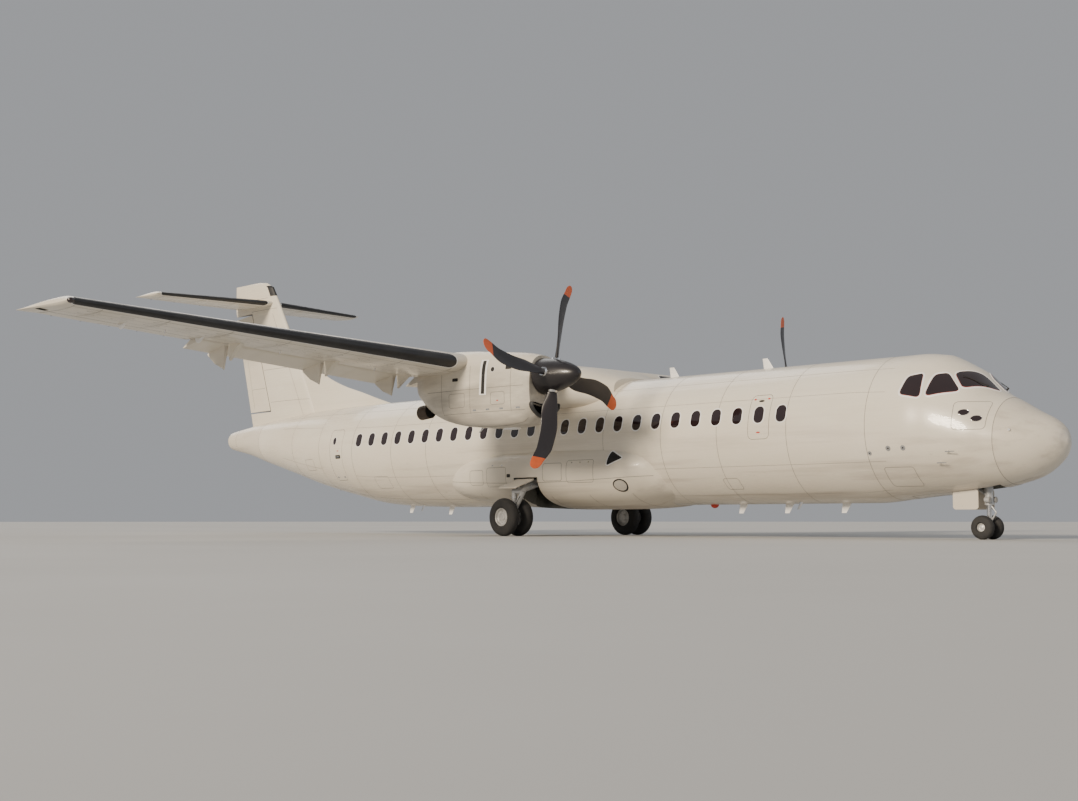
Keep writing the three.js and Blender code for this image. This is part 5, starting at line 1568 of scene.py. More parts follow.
def build_main_legs():
    """The main legs with their brake discs, hoses and doors."""
    x, r, axle = MAIN_TRACK_X, MAIN_TYRE_R, MAIN_AXLE
    pivot_x, pivot_s, pivot_z = 1.4, 12.15, 1.235
    head0, head1, head_z = 11.99, 12.33, 1.02
    strut_s = pivot_s - 0.1
    pin0, pin1 = LEG_BAY["s0"] + 0.005, LEG_BAY["s1"] - 0.005
    leg = bars([
        ((pivot_x, pin0, pivot_z), (pivot_x, pin1, pivot_z), 0.062, None, 32),
        ((pivot_x, pivot_s, pivot_z), (x, pivot_s, head_z), 0.088, 0.072, 32),
        ((x, head0, head_z), (x, head1, head_z), 0.07, 0.062, 32),
        ((x, head0 + 0.01, head_z), (x, axle - 0.05, r + 0.06), 0.062, 0.052, 32),
        ((x - 0.075, axle, r), (x + 0.075, axle, r), 0.1, None, 40),
        ((x, head1 - 0.04, head_z), (x, head1 - 0.03, head_z - 0.26), 0.06, None, 32),
        ((x, head1 - 0.03, head_z - 0.25), (x, head1 - 0.02, r + 0.11), 0.038, None, 32, "bright"),
        ((1.76, strut_s, 1.12), (1.0, strut_s, 1.29), 0.036, None, 24),
        ((1.76, strut_s, 1.12), (1.76, pivot_s, 1.12), 0.03, None, 24),
        ((x, head1 - 0.036, head_z - 0.13), (x, head1 - 0.0355, head_z - 0.145), 0.067, None, 32, "bright"),
        # The brake discs.
        ((x + 0.08, axle, r), (x + 0.096, axle, r), 0.15, 0.13, 40),
        ((x - 0.08, axle, r), (x - 0.096, axle, r), 0.15, 0.13, 40),
    ])
    t = np.linspace(0, 1, 24)[:, None]
    for shift, bend in ((0.07, 0.05), (-0.07, 0.06)):
        a, b = at(x + shift * 0.4, head0 + 0.05, head_z - 0.06), at(x + shift, axle - 0.08, r + 0.02)
        sag = np.array([shift, -bend, 0]) * np.sin(math.pi * t) * 1.1
        leg.append(tube(a * (1 - t) + b * t + sag, 0.008, 10, "hose"))
    # The posts of the leg's door, and the door.
    for post in (1.85, 2.04):
        top = leg_door_level(post) + 0.011
        leg.append(bar((post, pivot_s, top - 0.17), (post, pivot_s, top), 0.024, sides=20))
    shape = rounded_outline(0.32, 0.3, 0.06)
    door_x = 2.025 + shape[:, 0] * 0.953
    level = leg_door_level(door_x)
    rows = [points_of(door_x, aft(12.26) + shape[:, 1], level + lift) for lift in (0.0, 0.022)]
    leg.append(closed(np.stack(rows), "composite"))
    each_side("main_leg", leg, "steel bright hose composite", "main_gear_leg")


def build_gear():
    """The main legs, and the nose leg with its steered fork, its lamps and its doors."""
    build_main_legs()
    s, r, roof, wall = 1.585, NOSE_TYRE_R, NOSE_BAY["roof"] - 0.005, NOSE_BAY["half_width"] - 0.005
    brace = NOSE_BAY["s1"] - 0.06
    upper = bars([
        ((0, s, 0.64), (0, s, roof), 0.078, None, 40),
        ((0, s, 0.64), (0, s, 0.69), 0.086, None, 40),
        ((-wall, s, 1.15), (wall, s, 1.15), 0.045, None, 32),
        ((0, s, 0.8), (0, brace, 1.19), 0.034, None, 24),
        ((0, brace, 1.19), (0, brace, roof), 0.034, None, 24),
    ])
    make_piece("nose_leg", upper, "steel", "nose_gear_leg")
    fork = bars([
        ((0, s, 0.3), (0, s, 0.84), 0.048, None, 32, "bright"),
        ((0, s, 0.33), (0, s, 0.4), 0.058, None, 32),
        ((-0.07, NOSE_AXLE, r), (0.07, NOSE_AXLE, r), 0.062, None, 32),
        ((0, s, 0.38), (0, NOSE_AXLE, r + 0.05), 0.058, 0.05, 32),
        ((0, s - 0.045, 0.36), (0, s - 0.14, 0.5), 0.018, 0.014, 12),
        ((0, s - 0.14, 0.5), (0, s - 0.05, 0.62), 0.014, 0.018, 12),
    ])
    make_piece("nose_fork", fork, "steel bright", "nose_gear_fork", "nose_steering")
    z, lamps = 0.74, []
    for x in (0.12, -0.12):
        lamps += bars([
            ((0.0, s - 0.02, z), (x, s - 0.05, z), 0.012, None, 12),
            ((x, s + 0.02, z), (x, s - 0.08, z), 0.045, 0.06, 28),
            ((x, s - 0.078, z), (x, s - 0.088, z), 0.056, 0.05, 28, "lens"),
        ])
    make_piece("taxi_lamps", lamps, "steel lens")
    door = side_prism(plate(1.9, 0.75, 0.26, 0.19, 0.06, 10, 12), 0.289, 0.305)
    each_side("nose_door", [door], "paint", "nose_gear_door")


# Nacelle fittings

def build_nacelle_fittings():
    """Rubber lips of the intakes, and the exhaust pipes, each with a dark plug inside that paints the shade
    deep in the pipe.
    """
    front = NACELLE[0, 0]
    ring = kidney_ring(front - 0.03, INTAKE["half_width"], INTAKE["level"], INTAKE["up"], INTAKE["down"], 96)
    out = unit((ring - ring.mean(axis=0)) * [1, 0, 1])
    t = full_turn(14)[:, None, None]
    lip = ring + 0.034 * np.cos(t) * out + 0.06 * np.sin(t) * np.array([0, 1, 0])
    s = np.linspace(12.7, 12.96, 8)
    share = (s - 12.25) / 0.85
    centre = points_of(NACELLE_X + 0.12 + 0.1 * share, aft(s), 2.82 - 0.1 * share)
    turn = full_turn(48)
    circle = points_of(np.cos(turn), 0, np.sin(turn))
    walls = [centre[:, None] + 0.158 * circle, centre[::-1, None] + 0.146 * circle]
    pipe = looped(np.concatenate(walls), "hot")
    # The dark plug paints the shade deep inside the pipe.
    plug = rod(centre[1], centre[2], 0.15, sides=40, finish="dark")
    each_side("nacelle_fittings", [looped(lip), pipe, plug], "hose hot dark")


FIRST_WINDOW = 5.29
WINDOW_LEVEL = 2.48


def build_seams(sizes):
    """Panel seams and joint rings of the fuselage, as thin dark strips on its skin."""
    width = sizes.seam_width
    stations = (0.998, 3.35, 5.15, 6.9, 8.42, 10.1, 16.2, 17.6, 19.3, 21.0, 22.6, 24.9)
    rings = [(s, 0, s, 2 * math.pi, 181) for s in stations]
    lines = []
    for degrees, first, last in (
        (38, 3.0, 23.4), (-38, 3.0, 23.4), (150, 3.2, 23.4), (-150, 3.2, 23.4),
        (62, 5.15, 19.3), (-62, 3.0, 19.3), (118, 5.15, 19.3), (-118, 3.0, 19.3),
        (62, 21.0, 23.4), (-62, 21.0, 23.4), (118, 21.0, 23.4), (-118, 21.0, 23.4),
    ):
        turn = math.radians(degrees)
        lines.append((first, turn, last, turn, 120))
    made = strips_on(skin, BODY_CORE, width, rings, lift=JOINT_LIFT)
    made += strips_on(skin, BODY_CORE, width * 0.6, lines, lift=JOINT_LIFT)
    make_piece("fuselage_seams", made, "seam")


def fuselage_side(side):
    """The fuselage's side as a surface of station and level."""
    return lambda s, z: skin(s, side * turn_at_level(s, z))


def bulge(share, power):
    """Half the width of a section |x|^p + |z|^p = 1 at a share of its height."""
    return (1 - np.clip(np.abs(share), 0, 0.9999) ** power) ** (1 / power)


def nacelle_side(side):
    """The port nacelle's flat side as a surface of station and level, side +1 outboard."""

    def surface(s, z):
        half_width, top, bottom, power = columns_at(NACELLE, s)
        across = half_width * bulge((z - (top + bottom) / 2) / ((top - bottom) / 2), power)
        return points_of(NACELLE_X + side * across, aft(s), z)

    return surface


def nacelle_under(s, x):
    """The port nacelle's underside as a surface of station and place across."""
    half_width, top, bottom, power = columns_at(NACELLE, s)
    z = (top + bottom) / 2 - (top - bottom) / 2 * bulge(x / half_width, power)
    return points_of(NACELLE_X + x, aft(s), z)


def belly_side(side):
    """The belly fairing's side as a surface of station and level."""

    def surface(s, z):
        half_width, level, up, down = columns_at(BELLY, s)
        share = (z - level) / np.where(z > level, up, down)
        return points_of(side * half_width * bulge(share, BELLY_POWER), aft(s), z)

    return surface


def belly_under(s, x):
    """The belly fairing's underside as a surface of station and place across."""
    half_width, level, _, down = columns_at(BELLY, s)
    return points_of(x, aft(s), level - down * bulge(x / half_width, BELLY_POWER))


def fin_side(side):
    """The fin's side as a surface of station and level."""

    def surface(s, z):
        le, te, thickness = columns_linear(FIN, z)
        f = np.clip((s - le) / (te - le), 0, 1)
        return points_of(side * half_thickness_at(f, thickness) * (te - le), aft(s), z)

    return surface


def wing_face(face, whole=wing_surface):
    """One face of the port wing, or of the tailplane, as a surface of span and fraction of chord."""
    return lambda x, f: whole(x, f, face)


def blade_antenna(foot, height, chord, lean, finish):
    """A blade aerial: flat oval sections from its foot outwards, each smaller and further aft."""
    t, k = full_turn(20), np.linspace(0, 1, 6)[:, None]
    size = chord / 2 * (1 - 0.5 * k)
    x, y, z = foot
    rows = points_of(x + 0.1 * size * np.sin(t), y + lean * k + size * np.cos(t), z + height * k)
    return closed(rows, finish)


def half_ball(centre, radius, squash, finish):
    """A low dome facing down: radius cos u across and squash * radius sin u down."""
    u, t = np.linspace(0, math.pi / 2 - 0.02, 10)[:, None], full_turn(28)
    x, y, z = centre
    across = radius * np.cos(u)
    rows = points_of(x + across * np.cos(t), y + across * np.sin(t), z - squash * radius * np.sin(u))
    return closed(rows, finish)


TOP_AERIALS = (6.6, 9.2, 17.9)
BOTTOM_AERIALS = (4.7, 6.1, 7.3, 16.8, 18.4)
DRAINS = (5.6, 17.6)


def side_fittings(side, width):
    """What both sides of the fuselage have: probes, small hatches, exit marks and a wiper."""
    face = fuselage_side(side)
    # The access hatch below the windscreen with its two ovals, and small hatches low on the hull.
    made = seam_boxes(face, BODY_CORE, width, [(1.12, 1.68, 2.0, 2.52, 0.07)])
    for s, z in ((1.5, 2.32), (1.28, 2.2)):
        made += rimmed(face, BODY_CORE, oval(s, z, 0.085, 0.05), 0.004, "glass", 4, 0.012, 0.008, "bright")
    made += seam_boxes(face, BODY_CORE, width, [
        (2.5, 3.1, 1.0, 1.35, 0.05), (6.6, 7.0, 1.0, 1.22, 0.05),
        (17.9, 18.5, 1.2, 1.5, 0.05), (21.4, 21.9, 1.75, 2.05, 0.05),
    ])
    # Pitot heads, a vane and static ports.
    for s, z in ((1.75, 1.62), (1.95, 1.42)):
        foot = face(s, z)
        out = foot + [side * 0.075, 0, -0.012]
        made.append(rod(foot, out, 0.012, 0.01, 12, "bright"))
        made.append(rod(out + [0, 0.03, 0], out - [0, 0.16, 0], 0.011, 0.007, 14, "bright"))
    foot = face(0.74, 1.98)
    made.append(rod(foot, foot + [side * 0.035, -0.01, 0], 0.03, 0.022, 20, "bright"))
    rows = []
    # The dark middles of the static ports are painted shade in their holes.
    for s, z, half in ((2.6, 1.7, 0.05), (2.9, 1.7, 0.05), (3.3, 1.62, 0.04)):
        rows.append((oval(s, z, half, half), 0.002, "bright", 3))
        rows.append((oval(s, z, half * 0.3, half * 0.3), 0.003, "dark", 2))
    # The emergency exit's red marks and its handle.
    rows += [
        (oval(5.66, 2.8, 0.03, 0.018), 0.003, "red", 2),
        (oval(6.0, 2.8, 0.03, 0.018), 0.003, "red", 2),
        (oval(5.83, 2.76, 0.07, 0.022), 0.003, "dark", 3),
        (oval(5.83, 2.12, 0.05, 0.016), 0.003, "red", 3),
    ]
    made += patches_on(face, BODY_CORE, rows)
    # A wiper along the lower edge of the front pane.
    pivot, tip = skin(1.36, side * 0.36), skin(1.72, side * 0.56)
    normal = normals_on(skin, 1.6, side * 0.45, BODY_CORE)
    made.append(rod(pivot - normal * 0.01, pivot + normal * 0.04, 0.02, 0.016, 16, "dark"))
    made.append(rod(pivot + normal * 0.035, tip + normal * 0.03, 0.009, 0.006, 10, "dark"))
    return made


def build_fuselage_fittings(sizes):
    """Aerials, drain masts, probes, lamps, hatches and wipers of the fuselage."""
    width, down = sizes.seam_width, math.pi
    made = [blade_antenna(skin(s, 0.0, -0.01), 0.24, 0.26, 0.1, "trim") for s in TOP_AERIALS]
    made += [blade_antenna(skin(s, down, -0.01), -0.2, 0.22, 0.08, "trim") for s in BOTTOM_AERIALS]
    drain = math.radians(192)
    made += [blade_antenna(skin(s, drain, -0.01), -0.16, 0.1, 0.09, "bright") for s in DRAINS]
    made.append(half_ball(skin(8.1, down, -0.005), 0.09, 0.9, "red"))
    made.append(half_ball(skin(21.6, down, -0.005), 0.05, 1.0, "lens"))
    made += side_fittings(1, width) + side_fittings(-1, width)
    # The closed doors ahead of the nose leg and behind it, and the ring of the tail cone.
    lines = [(0.62, a, 1.17, a, 24) for a in np.radians([168, 192])]
    lines += [(2.2, a, 3.0, a, 24) for a in np.radians([166, 180, 194])]
    lines += [(3.0, math.radians(166), 3.0, math.radians(194), 16), (26.55, 0, 26.55, 2 * math.pi, 120)]
    made += strips_on(skin, BODY_CORE, width, lines)
    lamp = [[0, 0.001], [0.0, 0.05], [-0.02, 0.052], [-0.02, 0.001]]
    made.append(turned(lamp, at(0, LENGTH, 2.81), "y", 32, "lens"))
    make_piece("fuselage_fittings", made, "seam trim dark red bright lens glass")


def build_door_fittings():
    """Windows, handles and hinges of the doors, each riding with its own door."""
    for name, door in DOORS.items():
        if name.startswith("emergency"):
            continue
        cargo = name == "cargo_door"
        face = fuselage_side(door["side"])
        s0, s1, z0, z1 = door["s0"], door["s1"], door["z0"], door["z1"]
        made = []
        if not cargo:
            window = oval((s0 + s1) / 2 + 0.08, z0 + 1.05, 0.075, 0.1)
            made += rimmed(face, BODY_CORE, window, 0.003, "glass", 4, 0.02, 0.007, "trim")
        level = z0 + (0.3 if cargo else 0.62)
        middle = (s0 + s1) / 2 - (0.0 if cargo else 0.1)
        out = normals_on(face, middle, level, BODY_CORE) * 0.012
        ends = face(middle - 0.1, level) + out, face(middle + 0.1, level) + out
        made.append(rod(*ends, 0.011, 0.011, 12, "bright"))
        hinge = z1 - 0.07 if cargo else z0 + 0.08
        made += patches_on(face, BODY_CORE, [
            (plate(middle, level, 0.13, 0.05, 0.03, 5, 4), 0.002, "dark", 3),
            (plate(s0 + 0.12, hinge, 0.045, 0.02, 0.008, 4, 3), 0.003, "bright", 3),
            (plate(s1 - 0.12, hinge, 0.045, 0.02, 0.008, 4, 3), 0.003, "bright", 3),
            (oval(middle, level + 0.16, 0.045, 0.012), 0.003, "red", 3),
        ])
        make_piece(name + "_fittings", made, "glass trim dark bright red", None, door_body(name))


def build_nacelle_details(sizes):
    """The cowls' vent bands, ports, latches, scoops and seams."""
    made, width = [], sizes.seam_width
    for side in (1, -1):
        face, away = nacelle_side(side), towards(side, 0, 0)
        # The vent band leans forwards a little towards its top; the dark strip along it is painted shade
        # inside the vent.
        made += strips_on(face, away, 0.21, [(10.5848, 2.98, 10.5552, 3.72, 30)], "trim", 0.003)
        made += strips_on(face, away, 0.1, [(10.584, 3.0, 10.556, 3.7, 30)], "dark", 0.005)
        # The port's dark middle is painted shade in its opening.
        made += rimmed(face, away, oval(10.3, 3.5, 0.05, 0.05), 0.004, "dark", 3, 0.014, 0.008, "trim")
        lines = [(9.45, 2.62, 11.9, 2.62, 60), (9.45, 3.12, 12.4, 3.12, 60)]
        lines += [(s, 2.6, s, 3.62, 24) for s in (9.78, 10.98, 11.9)]
        made += strips_on(face, away, width, lines)
        boxes = [(11.15, 11.65, 2.75, 3.05, 0.05), (9.95, 10.35, 2.76, 3.02, 0.05)]
        made += seam_boxes(face, away, width, boxes)
        rows = [
            (plate(9.86, 3.52, 0.075, 0.045, 0.015), 0.004, "dark", 3),
            (plate(11.45, 3.35, 0.09, 0.035, 0.02), 0.003, "dark", 3),
            (oval(10.15, 2.84, 0.03, 0.012), 0.003, "red", 2),
        ]
        for s in (9.6, 10.05, 10.45, 10.85):
            rows.append((plate(s, 2.67, 0.05, 0.016, 0.006, 3, 3), 0.003, "bright", 2))
        made += patches_on(face, away, rows)
    # The scoop's dark middle is painted shade in its opening.
    down, scoop = towards(0, 0, -1), plate(10.25, 0.0, 0.16, 0.09, 0.05, 6, 5)
    made += rimmed(nacelle_under, down, scoop, 0.004, "dark", 4, 0.03, 0.03, "trim")
    made += strips_on(nacelle_under, down, width, [(9.45, x, 12.3, x, 60) for x in (-0.3, 0.3)])
    drain = np.stack([at(NACELLE_X - 0.2, 11.3 + 0.05 * k, 2.4 - 0.035 * k) for k in range(5)])
    made.append(tube(drain, 0.016, 12, "bright"))
    each_side("nacelle_details", made, "seam trim dark bright red")


AILERON_FAIRINGS = (10.06, 11.72)
WICKS = (10.4, 11.0, 11.6, 12.2, 12.8)


def hinge_boat(x):
    """A hinge fairing under the aileron: a shallow boat of oval sections."""
    k, t = np.linspace(0, 1, 14)[:, None], full_turn(20)
    foot = wing_surface(x, 0.56 + 0.155 * k, -1)
    depth = 0.16 * np.sin(math.pi * np.clip(k, 0.02, 0.98)) ** 0.7 * (0.35 + 0.65 * k)
    half = 0.035 * np.sin(math.pi * np.clip(k, 0.03, 0.97)) ** 0.5
    level = foot[..., 2] + 0.012 - depth * (0.5 - 0.5 * np.sin(t))
    return closed(points_of(foot[..., 0] + half * np.cos(t), foot[..., 1], level), "trim")


def tip_lamp():
    """The lamp at the wing tip's leading corner: a dome with radius 0.075 sqrt u."""
    x, y, z = (wing_surface(13.2, 0.015, 1) + wing_surface(13.2, 0.015, -1)) / 2
    t, u = full_turn(28), np.linspace(0.02, 1, 12)[:, None]
    rise = y + 0.03 - 0.075 * np.sqrt(1 - u + 0.0001)
    root = np.sqrt(u)
    return closed(points_of(x + 0.02 + 0.075 * root * np.cos(t), rise, z + 0.055 * root * np.sin(t)), "glass")


def wicks_on(surface, places, reach):
    """Discharge wicks: thin rods off the trailing edge at places along the span."""
    front, back = [0, -0.05, -0.004], [0, reach, -0.004]
    roots = [surface(x, 0.985, 1) for x in places]
    return [rod(root + front, root + back, 0.005, 0.003, 8, "dark") for root in roots]


def build_wing_details(sizes):
    """Seams, access plates, hinge fairings, lamps and wicks of the wing and the tailplane, and strips of
    painted shadow along the aileron and elevator hinges.
    """
    width, finishes = sizes.seam_width, "seam trim dark bright glass"
    made, tabs = [], wicks_on(wing_surface, WICKS, 0.13)
    elevator_tabs = wicks_on(tailplane_surface, (1.4, 2.3, 3.1), 0.1)
    for face in (1, -1):
        surface, away = wing_face(face), towards(0, 0, face)
        lines = [(1.6, 0.13, 13.1, 0.13, 120), (4.9, 0.5, 13.1, 0.5, 120)]
        if face < 0:
            lines.append((4.9, 0.3, 12.6, 0.3, 120))
        lines += [(x, 0.06, x, 0.68, 40) for x in (4.87, 6.1, 7.4, 8.75, 10.0, 11.3, 12.6)]
        lines.append((13.12, 0.06, 13.12, 0.99, 40))
        made += strips_on(surface, away, width, lines)
        hinge = HINGE_FRACTION - 0.012
        # A dark strip of painted shadow along the aileron's hinge gap.
        made += strips_on(surface, away, 0.018, [(AILERON[0], hinge, AILERON[1], hinge, 60)], "dark", 0.002)
        lines = [(10.05, 0.9, 11.9, 0.9, 40)] + [(x, 0.9, x, 0.99, 8) for x in (10.05, 11.9)]
        tabs += strips_on(surface, away, width * 0.8, lines)

        surface = wing_face(face, tailplane_surface)
        lines = [(0.24, f, 3.5, f, 60) for f in (0.14, 0.4)]
        lines += [(x, 0.07, x, 0.62, 24) for x in (0.32, 1.2, 2.2, 3.36)]
        made += strips_on(surface, away, width * 0.8, lines)
        hinge = ELEVATOR[2] - 0.012
        # A dark strip of painted shadow along the elevator's hinge gap.
        made += strips_on(surface, away, 0.016, [(ELEVATOR[0], hinge, ELEVATOR[1], hinge, 40)], "dark", 0.002)
        elevator_tabs += strips_on(surface, away, width * 0.8, [(0.5, 0.88, 2.3, 0.88, 40)])
    under, down = wing_face(-1), towards(0, 0, -1)
    for x in np.arange(5.5, 12.9, 0.65):
        made.append(outline_strip(under, oval(x, 0.4, 0.16, 0.036), width * 0.8, down))
        made.append(outline_strip(under, oval(x, 0.22, 0.13, 0.026), width * 0.8, down))
    caps = [(oval(x, 0.34, 0.07, 0.032), 0.004, "bright", 3) for x in (6.45, 11.0)]
    made += patches_on(wing_face(1), towards(0, 0, 1), caps)
    for x in (5.9, 8.3, 10.9):
        foot = under(x, 0.55)
        made.append(rod(foot + [0, 0, 0.01], foot - [0, -0.03, 0.06], 0.012, 0.009, 10, "bright"))
    made += [hinge_boat(x) for x in AILERON_FAIRINGS] + [tip_lamp()]
    made += patches_on(under, down, [(plate(13.2, 0.62, 0.035, 0.05, 0.01), 0.004, "dark", 3)])
    each_side("wing_details", made, finishes)
    # The wicks and the seams of the tabs ride on the moving surfaces.
    each_side("aileron_details", tabs, finishes, None, "aileron")
    each_side("elevator_details", elevator_tabs, finishes, None, "elevator")


def build_belly_details(sizes):
    """Inlets, landing lamps, hatches and seams of the belly fairing."""
    made, width = [], sizes.seam_width
    for side in (1, -1):
        face, away = belly_side(side), from_core(0, 1.45)
        # The sunk inlet: a triangle that widens aft, its dark middle painted shade in the recess.
        inlet = rounded_polygon([(9.45, 1.72), (9.82, 1.56), (9.82, 1.88)], 0.12)
        made += rimmed(face, away, inlet, 0.004, "dark", 5, 0.03, 0.012, "trim")
        made += rimmed(face, away, oval(9.5, 1.12, 0.16, 0.11), 0.008, "lens", 5, 0.035, 0.014, "dark")
        made += seam_boxes(face, away, width, [
            (10.2, 11.0, 1.2, 1.7, 0.06), (11.15, 11.75, 1.25, 1.65, 0.06),
            (13.0, 13.7, 1.15, 1.6, 0.06), (13.85, 14.4, 1.2, 1.55, 0.06),
        ])
        rows = [(oval(s, 1.65, 0.022, 0.012), 0.003, "bright", 2) for s in (10.35, 10.6, 10.85, 13.15, 13.5)]
        rows.append((plate(12.9, 1.4, 0.06, 0.04, 0.015), 0.003, "dark", 3))
        made += patches_on(face, away, rows)
        s = np.linspace(8.75, 15.6, 120)
        made.append(strip_on(face, s, 1.32 - 0.1 * np.sin((s - 8.75) / 6.85 * math.pi), width, away))
    lines = []
    for s in (9.3, 10.5, 11.7, 13.1, 14.2, 15.2):
        reach = float(columns_at(BELLY, s)[0]) * 0.86
        lines.append((s, -reach, s, reach, 60))
    made += strips_on(belly_under, towards(0, 0, -1), width, lines)
    make_piece("belly_details", made, "seam trim dark lens bright")


def build_fin_details(sizes):
    """The fin's oval grille, its dark cap and seams, and the rudder's tab. The grille's dark middle and a
    strip along the rudder's hinge are painted shade.
    """
    made, tabs, width = [], [], sizes.seam_width
    for side in (1, -1):
        face, away = fin_side(side), towards(side, 0, 0)
        # The grille's dark middle is painted shade behind its slats.
        made += rimmed(face, away, oval(25.42, 6.05, 0.14, 0.06), 0.003, "dark", 4, 0.018, 0.008, "trim")
        slats = []
        for k in (-2, -1, 0, 1, 2):
            z, reach = 6.05 + k * 0.022, 0.13 * math.sqrt(1 - (k / 3) ** 2)
            slats.append((25.42 - reach, z, 25.42 + reach, z, 8))
        made += strips_on(face, away, 0.006, slats, "trim", 0.006)
        lines = [(25.3, 7.12, 27.1, 7.12, 40)]
        for z in (3.9, 4.9, 5.9, 6.76):
            le, te, _ = columns_linear(FIN, z)
            lines.append((le + 0.12, z, le + (te - le) * 0.6, z, 40))
        made += strips_on(face, away, width, lines)
        z = np.linspace(3.4, 6.6, 60)
        le, te, _ = columns_linear(FIN, z)
        made.append(strip_on(face, le + 0.16 * (te - le), z, width, away))
        z = np.linspace(RUDDER["z0"], RUDDER["z1"], 60)
        # A dark strip of painted shadow along the rudder's hinge gap.
        made.append(strip_on(face, rudder_nose(z)[0] - 0.035, z, 0.022, away, 0.002, "dark"))

        z, top = np.linspace(3.75, 5.35, 30), 5.35
        tabs.append(strip_on(face, columns_linear(FIN, z)[1] - 0.3, z, width, away))
        end = float(columns_linear(FIN, top)[1])
        lines = [(end - 0.3, top, end - 0.02, top, 10)]
        for z in (4.35, 5.9):
            lines.append((rudder_nose(z)[0] + 0.05, z, columns_linear(FIN, z)[1] - 0.32, z, 10))
        tabs += strips_on(face, away, width, lines)
    z, u = np.linspace(7.16, 7.5, 20)[:, None], np.linspace(-1, 1, 21)
    made.append(raised_sheet(fin_surface(z, 0.1 * u ** 2, np.sign(u)), 0.004, (0, -1, 0), "boot"))
    make_piece("fin_details", made, "seam boot dark trim")
    make_piece("rudder_details", tabs, "seam", None, "rudder")


def finish_cad_nodes():
    """The finish of the engines, the CAD nodes that stay in view."""
    for name in ("engine_left", "engine_right"):
        materials = bpy.data.objects[name].data.materials
        materials.clear()
        materials.append(FINISHES["engine"])


# Stage

def build_stage(sizes):
    """A pale floor, soft studio light and the camera at floor level."""
    mesh = bpy.data.meshes.new("floor")
    r = FLOOR_REACH
    mesh.from_pydata([(-r, -r, 0), (r, -r, 0), (r, r, 0), (-r, r, 0)], [], [(0, 1, 2, 3)])
    floor = bpy.data.objects.new("floor", mesh)
    bpy.context.collection.objects.link(floor)
    mesh.materials.append(weathered("pale floor", (0.5, 0.5, 0.49), (0.45, 0.45, 0.44), 0.8, 0.6, 0.08))
    world = bpy.data.worlds.new("studio")
    world.use_nodes = True
    world.node_tree.nodes["Background"].inputs["Color"].default_value = (0.9, 0.92, 0.96, 1)
    world.node_tree.nodes["Background"].inputs["Strength"].default_value = 0.4
    bpy.context.scene.world = world
    for name, place, spread, power, colour in (
        ("key light", (-46, -2, 20), 14, 4.2, (1, 0.86, 0.68)),
        ("fill light", (26, -40, 18), 60, 0.35, (0.92, 0.95, 1)),
        ("back light", (16, 40, 30), 40, 0.7, (1, 0.97, 0.93)),
    ):
        data = bpy.data.lights.new(name, "SUN")
        data.angle = math.radians(spread)
        data.energy = power
        data.color = colour
        lamp = bpy.data.objects.new(name, data)
        lamp.location = place
        lamp.rotation_euler = (Vector((0, 0, 2)) - Vector(place)).to_track_quat("-Z", "Y").to_euler()
        bpy.context.collection.objects.link(lamp)
    data = bpy.data.cameras.new("camera")
    camera = bpy.data.objects.new("camera", data)
    bpy.context.collection.objects.link(camera)
    turn, target = sizes.camera_turn, Vector((0, 0, TARGET_LEVEL))
    away = Vector((math.sin(turn), -math.cos(turn), 0)) * sizes.camera_distance
    camera.location = (away.x, away.y, sizes.camera_height)
    camera.rotation_euler = (target - camera.location).to_track_quat("-Z", "Y").to_euler()
    data.lens = sizes.lens
    data.clip_end = 2000
    bpy.context.scene.camera = camera


class AIRLINER_OT_finishes(bpy.types.Operator):
    """Make the paint, rubber, glass and metal finishes"""

    bl_idname = "airliner.finishes"
    bl_label = "Finishes"

    def execute(self, context):
        make_finishes(context.scene.airliner_colours)
        finish_cad_nodes()
        return {"FINISHED"}


class AIRLINER_OT_fuselage(bpy.types.Operator):
    """Make the fuselage skins with their doorways and wheel bays"""

    bl_idname = "airliner.fuselage"
    bl_label = "Fuselage"

    def execute(self, context):
        build_fuselage()
        build_seams(context.scene.airliner_sizes)
        build_fuselage_fittings(context.scene.airliner_sizes)
        return {"FINISHED"}


class AIRLINER_OT_doors(bpy.types.Operator):
    """Make the doors and the emergency exits"""

    bl_idname = "airliner.doors"
    bl_label = "Doors"

    def execute(self, context):
        build_doors()
        build_door_fittings()
        return {"FINISHED"}


class AIRLINER_OT_glazing(bpy.types.Operator):
    """Make the cockpit panes and the cabin windows"""

    bl_idname = "airliner.glazing"
    bl_label = "Glazing"

    def execute(self, context):
        build_glazing(context.scene.airliner_sizes)
        return {"FINISHED"}


class AIRLINER_OT_fairings(bpy.types.Operator):
    """Make the belly fairing and the wing root fairing"""

    bl_idname = "airliner.fairings"
    bl_label = "Fairings"

    def execute(self, context):
        build_fairings()
        build_belly_details(context.scene.airliner_sizes)
        return {"FINISHED"}


class AIRLINER_OT_wing(bpy.types.Operator):
    """Make the wing, its flaps, ailerons, spoilers and flap fairings"""

    bl_idname = "airliner.wing"
    bl_label = "Wing"

    def execute(self, context):
        build_wing()
        build_wing_details(context.scene.airliner_sizes)
        return {"FINISHED"}


class AIRLINER_OT_boots(bpy.types.Operator):
    """Make the de-icing boots"""

    bl_idname = "airliner.boots"
    bl_label = "De-icing boots"

    def execute(self, context):
        build_boots(context.scene.airliner_sizes)
        return {"FINISHED"}


class AIRLINER_OT_nacelles(bpy.types.Operator):
    """Make the cowls, the nacelles' rear ends and their fittings"""

    bl_idname = "airliner.nacelles"
    bl_label = "Nacelles"

    def execute(self, context):
        build_nacelles()
        build_nacelle_fittings()
        build_nacelle_details(context.scene.airliner_sizes)
        return {"FINISHED"}


class AIRLINER_OT_propellers(bpy.types.Operator):
    """Make the spinners and the propeller blades"""

    bl_idname = "airliner.propellers"
    bl_label = "Propellers"

    def execute(self, context):
        build_propellers()
        return {"FINISHED"}


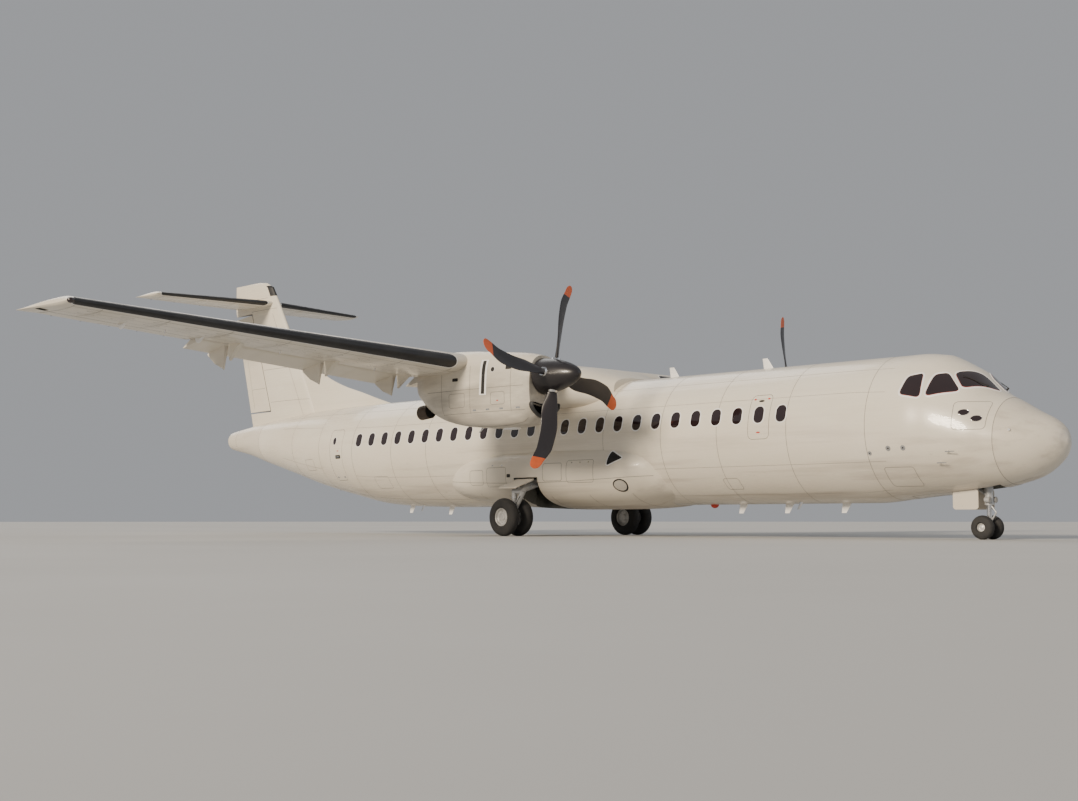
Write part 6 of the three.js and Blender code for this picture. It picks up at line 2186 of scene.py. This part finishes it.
class AIRLINER_OT_tail(bpy.types.Operator):
    """Make the fin, the rudder, the tailplane and the elevators"""

    bl_idname = "airliner.tail"
    bl_label = "Tail"

    def execute(self, context):
        build_tail()
        build_fin_details(context.scene.airliner_sizes)
        return {"FINISHED"}


class AIRLINER_OT_gear(bpy.types.Operator):
    """Make the landing gear legs, doors and wheels"""

    bl_idname = "airliner.gear"
    bl_label = "Landing gear"

    def execute(self, context):
        build_gear()
        build_wheels()
        return {"FINISHED"}


class AIRLINER_OT_stage(bpy.types.Operator):
    """Make the floor, the studio light and the camera"""

    bl_idname = "airliner.stage"
    bl_label = "Stage"

    def execute(self, context):
        build_stage(context.scene.airliner_sizes)
        return {"FINISHED"}


OPERATORS = (
    AIRLINER_OT_finishes,
    AIRLINER_OT_fuselage,
    AIRLINER_OT_doors,
    AIRLINER_OT_glazing,
    AIRLINER_OT_fairings,
    AIRLINER_OT_wing,
    AIRLINER_OT_boots,
    AIRLINER_OT_nacelles,
    AIRLINER_OT_propellers,
    AIRLINER_OT_tail,
    AIRLINER_OT_gear,
    AIRLINER_OT_stage,
)


class AIRLINER_PT_pieces(bpy.types.Panel):
    """Lists the airliner's sizes, colours and pieces"""

    bl_label = "Airliner"
    bl_idname = "AIRLINER_PT_pieces"
    bl_space_type = "VIEW_3D"
    bl_region_type = "UI"
    bl_category = "Airliner"

    def draw(self, context):
        layout = self.layout
        for group in (context.scene.airliner_sizes, context.scene.airliner_colours):
            for name in group.__annotations__:
                layout.prop(group, name)
        for made in OPERATORS:
            layout.operator(made.bl_idname)


CLASSES = (AirlinerSizes, AirlinerColours, *OPERATORS, AIRLINER_PT_pieces)


def register():
    """Registers the classes and the two groups of settings."""
    for made in CLASSES:
        bpy.utils.register_class(made)
    bpy.types.Scene.airliner_sizes = PointerProperty(type=AirlinerSizes)
    bpy.types.Scene.airliner_colours = PointerProperty(type=AirlinerColours)


def unregister():
    """Takes the settings and the classes out again."""
    del bpy.types.Scene.airliner_colours
    del bpy.types.Scene.airliner_sizes
    for made in reversed(CLASSES):
        bpy.utils.unregister_class(made)


def main():
    """Makes every piece in order."""
    register()
    for made in OPERATORS:
        group, name = made.bl_idname.split(".")
        getattr(getattr(bpy.ops, group), name)()


if __name__ == "__main__":
    main()
